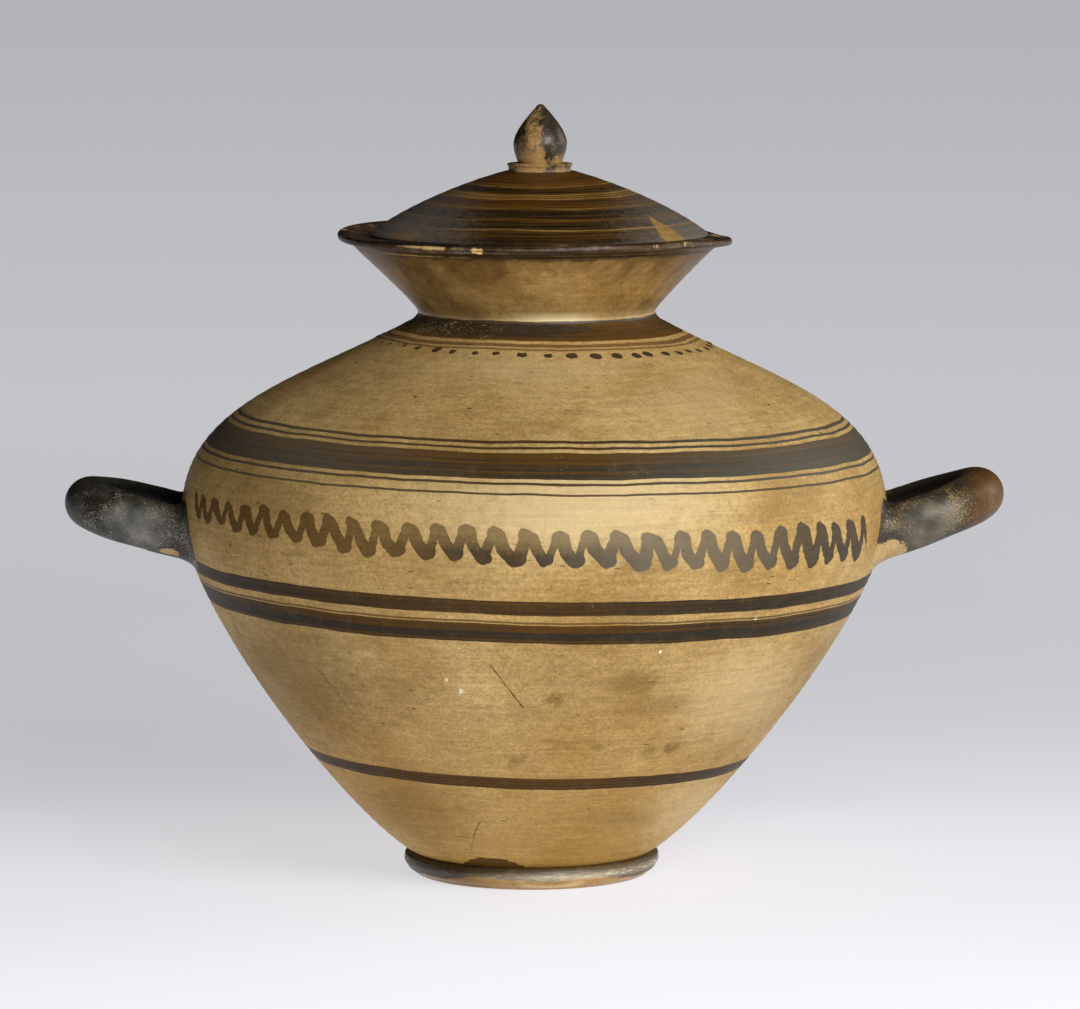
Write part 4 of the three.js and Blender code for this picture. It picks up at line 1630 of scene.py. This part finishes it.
@dataclass
class Dabs:
    """The ring of slip dabs high on the shoulder: angles from the front, sizes and height in mm."""

    angles: Numbers = (
        -80.6, -72.0, -64.1, -54.1, -45.9, -37.1, -30.0, -21.2, -14.0, -4.9, 3.9, 11.7, 19.8, 27.2,
        34.6, 39.5, 47.1, 53.7, 60.1, 66.6, 74.7, 82.0,
    )
    widths: Numbers = (
        2.4, 2.2, 2.4, 2.4, 3.0, 4.6, 3.2, 2.6, 3.0, 4.6, 3.6, 4.8, 5.0, 4.9,
        4.4, 4.6, 4.0, 3.6, 3.6, 3.4, 3.4, 3.4,
    )
    level: float = 242.9
    tilt: float = 0.022
    ring: float = 75.0
    spread: float = 1.12
    oval: float = 0.94
    ragged: float = 1.1
    edge_mm: float = 2.2
    back_pitch: float = 8.1
    thickness: float = 0.25

    def _tree(self) -> bpy.types.NodeTree:
        """Builds the tree that presses a dab on every point, each with its own size and edge.

        Returns:
            The tree, with inputs for the dab's thickness, its ragged edge, the seed and the slip.
        """
        tree = bpy.data.node_groups.new("Slip dabs", "GeometryNodeTree")
        put = partial(add, tree)
        for name, kind in (
            ("Geometry", "Geometry"), ("Thickness", "Float"), ("Ragged", "Float"),
            ("Seed", "Float"), ("Slip", "Material"),
        ):
            tree.interface.new_socket(name, in_out="INPUT", socket_type="NodeSocket" + kind)
        tree.interface.new_socket("Geometry", in_out="OUTPUT", socket_type="NodeSocketGeometry")
        given = tree.nodes.new("NodeGroupInput").outputs
        facing = put("InputNamedAttribute.FLOAT_VECTOR", "facing")
        width = put("InputNamedAttribute.FLOAT", "width")
        dab = put("MeshUVSphere", 20, 6, 0.5)
        turned = put("AlignRotationToVector", None, 1.0, facing, axis="Z")
        flat = put("CombineXYZ", width, put("Math.MULTIPLY", width, self.oval), given["Thickness"])
        pressed = put("InstanceOnPoints", given["Geometry"], None, dab, None, None, turned, flat)
        real = put("RealizeInstances", pressed)
        edge = put(
            "TexNoise", put("InputPosition"), given["Seed"], 1 / (self.edge_mm * MM), 2.0,
            noise_dimensions="4D",
        ).node.outputs["Color"]
        push = put("VectorMath.SUBTRACT", edge, (0.5, 0.5, 0.5))
        push = put("VectorMath.SCALE", push, given["Ragged"])
        uneven = put("SetPosition", real, None, None, push)
        whole = put("RealizeInstances", uneven)
        dressed = put("SetMaterial", whole, None, given["Slip"])
        tree.links.new(dressed, tree.nodes.new("NodeGroupOutput").inputs[0])
        return tree

    def build(self, settling: Settling, slip: bpy.types.Material) -> bpy.types.Object:
        """Dabs the ring on the shoulder.

        Args:
            settling: how the jar leaned.
            slip: the dabs' material.

        Returns:
            One piece with every dab.
        """
        draw = np.random.default_rng(SEED)
        back = np.arange(90.0, 270.0, self.back_pitch)
        back = back + draw.uniform(-1.5, 1.5, len(back))
        angles = np.radians(np.concatenate([self.angles, back]))
        widths = self.spread * np.concatenate([self.widths, draw.uniform(2.4, 4.8, len(back))])
        across = np.sin(angles) * self.ring
        heights = self.level - self.tilt * across + draw.uniform(-0.25, 0.25, len(angles))
        radii = wall_radius(heights)
        centres = np.column_stack([radii * np.sin(angles), -radii * np.cos(angles), heights])
        facing = np.column_stack([np.sin(angles), -np.cos(angles), -wall_slope(heights)])
        facing /= np.linalg.norm(facing, axis=1)[:, None]
        mesh = bpy.data.meshes.new("dab_places")
        mesh.from_pydata((settling.jar(centres) * MM).tolist(), [], [])
        ways = mesh.attributes.new("facing", "FLOAT_VECTOR", "POINT")
        ways.data.foreach_set("vector", facing.ravel())
        mesh.attributes.new("width", "FLOAT", "POINT").data.foreach_set("value", widths * MM)
        settings = {
            "Thickness": self.thickness * 2 * MM, "Ragged": self.ragged * MM, "Seed": float(SEED),
            "Slip": slip,
        }
        piece = run_tree("shoulder_dabs", mesh, self._tree(), settings)
        finish_mesh(piece.data)
        return piece


@dataclass
class Handle:
    """A coil bent into a loop and luted to the wall by two spread roots, in mm and degrees."""

    side: Side
    sweep: float
    slip: HandleSlip
    coil: float = 11.4
    lumps: Pair = (0.18, 0.12)
    true_past: float = 1.45
    arm: float = 27.0
    reach: float = 53.2
    root_level: float = 157.9
    root_length: float = 10.0
    spread: float = 5.8
    pulls: Pair = (0.45, 0.42)
    sunk: float = 0.4
    buried: float = 2.4
    rings: int = 90
    root_rings: int = 18
    wall_tries: int = 40
    round: int = 48

    def _place(self, points: np.ndarray) -> np.ndarray:
        """Tips level points up about the wall and turns them to the handle's side.

        Args:
            points: rows of X, Y, Z with the loop level and pointing along +X from the wall.

        Returns:
            The points in the jar's frame.
        """
        tip = math.radians(self.sweep)
        x, y, z = points.reshape(-1, 3).T
        out = self.wall_x + x * math.cos(tip) - z * math.sin(tip)
        up = self.root_level + x * math.sin(tip) + z * math.cos(tip)
        turned = np.column_stack([out * self.side.value, y * self.side.value, up])
        return turned.reshape(points.shape)

    @property
    def wall_x(self) -> float:
        """Gives how far out the wall is at an arm."""
        return math.sqrt(JAR.belly**2 - self.arm**2)

    def _loop(self) -> np.ndarray:
        """Gives the coil's rings, level, from one arm round to the other.

        Returns:
            Rings of points, with the arms along +X.
        """
        span = JAR.belly + self.reach - self.coil - self.wall_x
        end = span / math.cos(math.radians(self.sweep))
        bow = np.linspace(-math.pi / 2, math.pi / 2, self.rings)
        depth = end - self.root_length
        out = self.root_length + depth * np.cos(bow)
        path = np.column_stack([out, self.arm * np.sin(bow), 0 * bow])
        along = np.column_stack([-depth * np.sin(bow), self.arm * np.cos(bow), 0 * bow])
        along /= np.linalg.norm(along, axis=1)[:, None]
        across = np.column_stack([-along[:, 1], along[:, 0], 0 * bow])
        draw = np.random.default_rng(SEED + self.side.value)
        waves = draw.uniform(0, math.tau, 2)
        slow, quick = self.lumps
        thick = self.coil + slow * np.sin(3 * bow + waves[0]) + quick * np.sin(7 * bow + waves[1])
        thick = np.where(np.abs(bow) > self.true_past, self.coil, thick)
        phi = np.linspace(0, math.tau, self.round, endpoint=False)
        aside, up = np.cos(phi)[None, :, None], np.sin(phi)[None, :, None]
        rim = across[:, None] * aside + np.array([0, 0, 1.0]) * up
        return path[:, None] + rim * thick[:, None, None]

    def _root(self, end_ring: np.ndarray, centre_y: float) -> np.ndarray:
        """Spreads an arm's end onto the wall.

        Args:
            end_ring: the coil's last ring, level.
            centre_y: the arm's Y.

        Returns:
            Rings from the coil to inside the wall, in the jar's frame.
        """
        middle = np.array([self.root_length, centre_y, 0.0])
        outward = (end_ring - middle) / self.coil
        start = self._place(end_ring)
        step = self._place(np.array([[-1.0, 0, 0], [0, 0, 0]]))
        inward = step[0] - step[1]
        foot_level = middle + outward * (self.coil + self.spread)
        foot = self._place(foot_level)
        low, high = np.full(len(foot), -30.0), np.full(len(foot), 60.0)
        for _ in range(self.wall_tries):
            half = (low + high) / 2
            spot = foot + half[:, None] * inward
            proud = np.hypot(spot[:, 0], spot[:, 1]) > wall_radius(spot[:, 2])
            low, high = np.where(proud, half, low), np.where(proud, high, half)
        foot = foot + low[:, None] * inward
        slope = wall_slope(foot[:, 2])
        facing = np.column_stack([foot[:, 0], foot[:, 1], 0 * slope])
        facing /= np.hypot(foot[:, 0], foot[:, 1])[:, None]
        facing[:, 2] = -slope
        facing /= np.linalg.norm(facing, axis=1)[:, None]
        away = self._place(middle + outward) - self._place(middle + 0 * outward)
        away -= facing * np.sum(away * facing, axis=1)[:, None]
        away /= np.linalg.norm(away, axis=1)[:, None]
        gap = np.linalg.norm(foot - start, axis=1)[:, None]
        sunk = foot - facing * self.sunk
        leave, land = self.pulls
        controls = [start, start + inward * gap * leave, sunk - away * gap * land, sunk]
        t = np.linspace(0, 1, self.root_rings)[:, None, None]
        weights = [(1 - t) ** 3, 3 * (1 - t) ** 2 * t, 3 * (1 - t) * t**2, t**3]
        rings = sum(weight * control for weight, control in zip(weights, controls))
        return np.concatenate([rings, [sunk - facing * self.buried - away]])

    def _skin(
        self, name: str, rings: np.ndarray, facing: np.ndarray, settling: Settling,
        slip: bpy.types.Material,
    ) -> bpy.types.Object:
        """Skins rings into a closed piece.

        Args:
            name: the piece's name.
            rings: rings of points in the jar's frame, in mm.
            facing: for each point of a ring, how far it faces the inside of the loop.
            settling: how the jar leaned.
            slip: the piece's material.

        Returns:
            The finished piece.
        """
        count, sides, _ = rings.shape
        ends = np.array([rings[0].mean(axis=0), rings[-1].mean(axis=0)])
        points = settling.jar(np.vstack([rings.reshape(-1, 3), ends])) * MM
        faces = []
        for i in range(count - 1):
            for j in range(sides):
                k, row, above = (j + 1) % sides, i * sides, (i + 1) * sides
                faces.append((row + j, row + k, above + k, above + j))
        first, last = count * sides, count * sides + 1
        for j in range(sides):
            k = (j + 1) % sides
            faces.append((first, k, j))
            faces.append((last, (count - 1) * sides + j, (count - 1) * sides + k))
        mesh = bpy.data.meshes.new(name)
        mesh.from_pydata(points.tolist(), [], faces)
        # How far each point faces the inside of the loop, for the painted shade there.
        hollow = np.concatenate([np.tile(np.clip(facing, 0, 1), count), [0, 0]])
        mesh.attributes.new(LOOP_SHADE, "FLOAT", "POINT").data.foreach_set("value", hollow)
        finish_mesh(mesh, slip)
        piece = bpy.data.objects.new(name, mesh)
        bpy.context.scene.collection.objects.link(piece)
        return piece

    def build(self, settling: Settling) -> None:
        """Builds and dresses the loop and its two roots.

        Args:
            settling: how the jar leaned.
        """
        slip = self.slip.make()
        word = self.side.name.lower()
        loop = self._loop()
        inward = np.cos(np.linspace(0, math.tau, self.round, endpoint=False))
        piece = self._skin(f"{word}_loop", self._place(loop), inward, settling, slip)
        hand_over(piece, Body.JAR, Slot.HANDLE, f"{word}_handle")
        for ring, y in ((loop[0], -self.arm), (loop[-1], self.arm)):
            place = "front" if y * self.side.value < 0 else "rear"
            rings = self._root(ring, y)
            piece = self._skin(f"{word}_{place}_spread", rings, inward, settling, slip)
            hand_over(piece, Body.JAR, Slot.HANDLE, f"{word}_{place}_root")


@dataclass
class ThrownLid:
    """The lid thrown as a shallow dome with a disc and a pointed knob, in mm and degrees."""

    edge: float = 76.49
    edge_level: float = 291.71
    dome_lean: float = 38.8
    top_lean: float = 15.2
    pull: float = 19.0
    flat: float = 15.6
    flat_level: float = 319.91
    wall: float = 5.5
    hollow_edge: Pair = (67.6, 288.8)
    seat: Pair = (70.9, 288.0)
    flank_top: Pair = (75.2, 290.3)
    rim_turn: Pair = (76.7, 291.1)
    disc: float = 14.8
    disc_level: float = 323.51
    bud: float = 12.1
    bud_base: float = 9.8
    bud_level: float = 332.01
    tip_level: float = 350.01
    tip_pull: Pair = (4.8, -4.4)
    nub: Pair = (1.9, -1.0)
    nub_pull: Pair = (1.1, 0.0)

    def _dome(self) -> Runs:
        """Gives the dome's closed profile, from the axis inside to the axis on top.

        Returns:
            Its runs, in order.
        """
        edge, top = np.array([self.edge, self.edge_level]), np.array([self.flat, self.flat_level])
        leave = heading(180 - self.dome_lean, self.pull)
        arrive = heading(180 - self.top_lean, self.pull)
        outer = bend(0.7, edge, edge + leave, top - arrive, top)
        roof = np.array([self.flat, self.flat_level - self.wall])
        foot = np.array(self.hollow_edge)
        hollow = bend(2.5, roof, roof - arrive, foot + leave, foot)
        seat = bend(0.5, foot, (foot[0] + 1, self.seat[1]), self.seat)
        flank = bend(0.6, seat[-1], self.flank_top)
        rim = bend(0.25, flank[-1], self.rim_turn, edge)
        return [
            (bend(3, (0, roof[1]), roof), 0), (hollow, 0), (seat, 0), (flank, 0),
            (rim, 1), (outer, 1), (bend(3, top, (0, self.flat_level)), 1),
        ]

    def _disc(self) -> Runs:
        """Gives the disc's closed profile.

        Returns:
            Its runs, in order.
        """
        low, high, edge = self.flat_level, self.disc_level, self.disc
        cove = bend(0.3, (edge - 0.3, low - 0.15), (edge - 1.0, low + 1.2), (edge - 0.4, low + 2.4))
        bead = bend(
            0.25, cove[-1], (edge + 0.3, high - 0.7), (edge + 0.1, high), (edge - 0.9, high),
        )
        return [
            (bend(2, (0, low - 0.15), cove[0]), 0), (cove, 1), (bead, 1),
            (bend(2, bead[-1], (0, high)), 1),
        ]

    def _bud(self) -> Runs:
        """Gives the knob's closed profile: a bud that narrows to a point.

        Returns:
            Its runs, in order.
        """
        base = np.array([self.bud_base, self.disc_level - 0.1])
        wide = np.array([self.bud, self.bud_level])
        tip = np.array([0.0, self.tip_level])
        swell, rise = (self.bud - self.bud_base) / 2, (self.bud_level - self.disc_level) / 3
        low = bend(0.5, base, base + (swell, rise), wide - (0, rise), wide)
        climb = (self.tip_level - self.bud_level) / 3
        high = bend(0.5, wide, wide + (0, climb), tip + self.tip_pull, tip + self.nub)
        nub = bend(0.3, high[-1], tip + self.nub_pull, tip)
        return [(bend(2, (0, base[1]), base), 0), (low, 1), (high, 1), (nub, 1)]

    def build(self, wheel: Wheel, settling: Settling) -> None:
        """Turns the dome, disc and knob and dresses them.

        Args:
            wheel: the turning tree.
            settling: how the lid sits.
        """
        knob = KnobSlip().make()
        dome = wheel.turn(
            "thrown_lid", self._dome(), LidSlip().make(), settling.lid, spacing=2.6, wobble=0.15,
        )
        hand_over(dome, Body.LID, Slot.LID, "lid_dome")
        for name, profile, node in (
            ("turned_disc", self._disc(), "knob_disc"), ("turned_bud", self._bud(), "knob"),
        ):
            piece = wheel.turn(name, profile, knob, settling.lid, sides=120, ridge=0.04, wobble=0.2)
            hand_over(piece, Body.LID, Slot.KNOB, node)


@dataclass
class Studio:
    """A wide pale floor with a painted glow, soft lamps and the camera at the photograph's angle,
    in metres.
    """

    eye: Place = (0.0, -2.597, 0.4618)
    aim: Place = (0.0026, 0.0, 0.1682)
    lens: float = 191.6
    sensor: float = 36.0
    floor_radius: float = 40.0
    # Painted light: where the floor's glow is centred, in mm, and its strength by distance in m.
    painted_light_pool: Pair = (0.0, -450.0)
    painted_glow_levels: tuple[Pair, ...] = (
        (0.05, 0.76), (0.23, 0.71), (0.37, 0.65), (0.5, 0.63), (0.59, 0.6), (0.67, 0.555),
        (0.77, 0.52), (0.91, 0.48), (1.06, 0.465), (1.4, 0.47), (2.0, 0.51), (2.7, 0.545),
        (5.5, 0.52), (12.5, 0.475),
    )
    glow_tint: str = "#fafaff"
    floor_greys: tuple[str, str] = ("#a0a0a5", "#abaaaf")
    floor_sides: int = 96
    lamps: tuple[tuple[str, float, float, float, Pair, float], ...] = (
        ("key", 33.0, 28.0, 2.2, (1.5, 1.0), 46.0), ("kicker", 112.0, 18.0, 2.0, (1.0, 1.0), 8.0),
    )
    lamp_aim: float = 0.15
    sky: str = "#dfe3ea"
    sky_strength: float = 0.02

    def _glowing_floor(self) -> bpy.types.Material:
        """Makes the matt floor, whose painted glow is brightest in front of the jar and lights it
        from below.

        Returns:
            The floor's material.
        """
        material, put, mm = start_material("matt floor with a painted glow")
        grain = put("MapRange", put("TexNoise", mm, 1 / 3.0, 2.0), 0.3, 0.7, 0.0, 0.01)
        grey = put("Mix.RGBA", grain, *map(linear, self.floor_greys))
        # Painted light: the floor glows, most in a pool in front of the jar.
        spot = put("VectorMath.SUBTRACT", mm, (*self.painted_light_pool, 0.0))
        spot = put("VectorMath.MULTIPLY", spot, (0.4, 1.0, 0.0))
        away = put("Math.MULTIPLY", put("VectorMath.LENGTH", spot), MM)
        share = put("Math.DIVIDE", away, put("Math.ADD", away, 1.0))
        glow = put("ValToRGB", share)
        stops = [(far / (far + 1), (light, light, light, 1.0)) for far, light in self.painted_glow_levels]
        set_stops(glow.node.color_ramp, stops)
        rough = put("MapRange", grain, 0.0, 0.01, 0.85, 0.9)
        shader = end_material(put, Surface(grey, rough, grain), 0.2)
        shader.id_data.links.new(glow, shader.inputs["Emission Strength"])
        shader.inputs["Emission Color"].default_value = linear(self.glow_tint)
        return material

    def build(self) -> None:
        """Builds the floor, the lamps and the camera."""
        far, turns = self.floor_radius, np.linspace(0, math.tau, self.floor_sides, endpoint=False)
        rim = [(far * math.cos(a), far * math.sin(a), 0.0) for a in turns]
        mesh = bpy.data.meshes.new("floor")
        mesh.from_pydata(rim, [], [range(len(rim))])
        mesh.materials.append(self._glowing_floor())
        floor = bpy.data.objects.new("floor", mesh)
        bpy.context.scene.collection.objects.link(floor)
        for name, azimuth, rise, apart, size, watts in self.lamps:
            lamp = bpy.data.lights.new(name, "AREA")
            lamp.shape, lamp.energy = "RECTANGLE", watts
            lamp.size, lamp.size_y = size
            turn, lift = math.radians(azimuth), math.radians(rise)
            out, up = apart * math.cos(lift), self.lamp_aim + apart * math.sin(lift)
            place = (out * math.sin(turn), -out * math.cos(turn), up)
            self._aimed(bpy.data.objects.new(name, lamp), place, (0, 0, self.lamp_aim))
        bpy.context.scene.view_settings.view_transform = "Standard"
        world = bpy.data.worlds.new("studio")
        world.use_nodes = True
        sky = world.node_tree.nodes["Background"].inputs
        sky["Color"].default_value = linear(self.sky)
        sky["Strength"].default_value = self.sky_strength
        bpy.context.scene.world = world
        lens = bpy.data.cameras.new("camera")
        lens.lens, lens.sensor_width = self.lens, self.sensor
        bpy.context.scene.camera = self._aimed(
            bpy.data.objects.new("camera", lens), self.eye, self.aim,
        )

    @staticmethod
    def _aimed(thing: bpy.types.Object, place: Numbers, target: Numbers) -> bpy.types.Object:
        """Puts a lamp or camera in the scene, facing a target.

        Args:
            thing: the lamp or camera.
            place: where it stands.
            target: what it faces.

        Returns:
            The same object.
        """
        bpy.context.scene.collection.objects.link(thing)
        thing.location = place
        thing.rotation_euler = (Vector(target) - Vector(place)).to_track_quat("-Z", "Y").to_euler()
        return thing


def main() -> None:
    """Builds the studio, the jar, its handles and its lid."""
    logging.basicConfig(level=logging.INFO, format="%(name)s: %(message)s")
    Studio().build()
    wheel, settling = Wheel(), Settling()
    JAR.build(wheel, settling)
    Handle(Side.LEFT, 14.8, DARK_COIL).build(settling)
    Handle(Side.RIGHT, 19.4, RUSTY_COIL).build(settling)
    ThrownLid().build(wheel, settling)


if __name__ == "__main__":
    main()
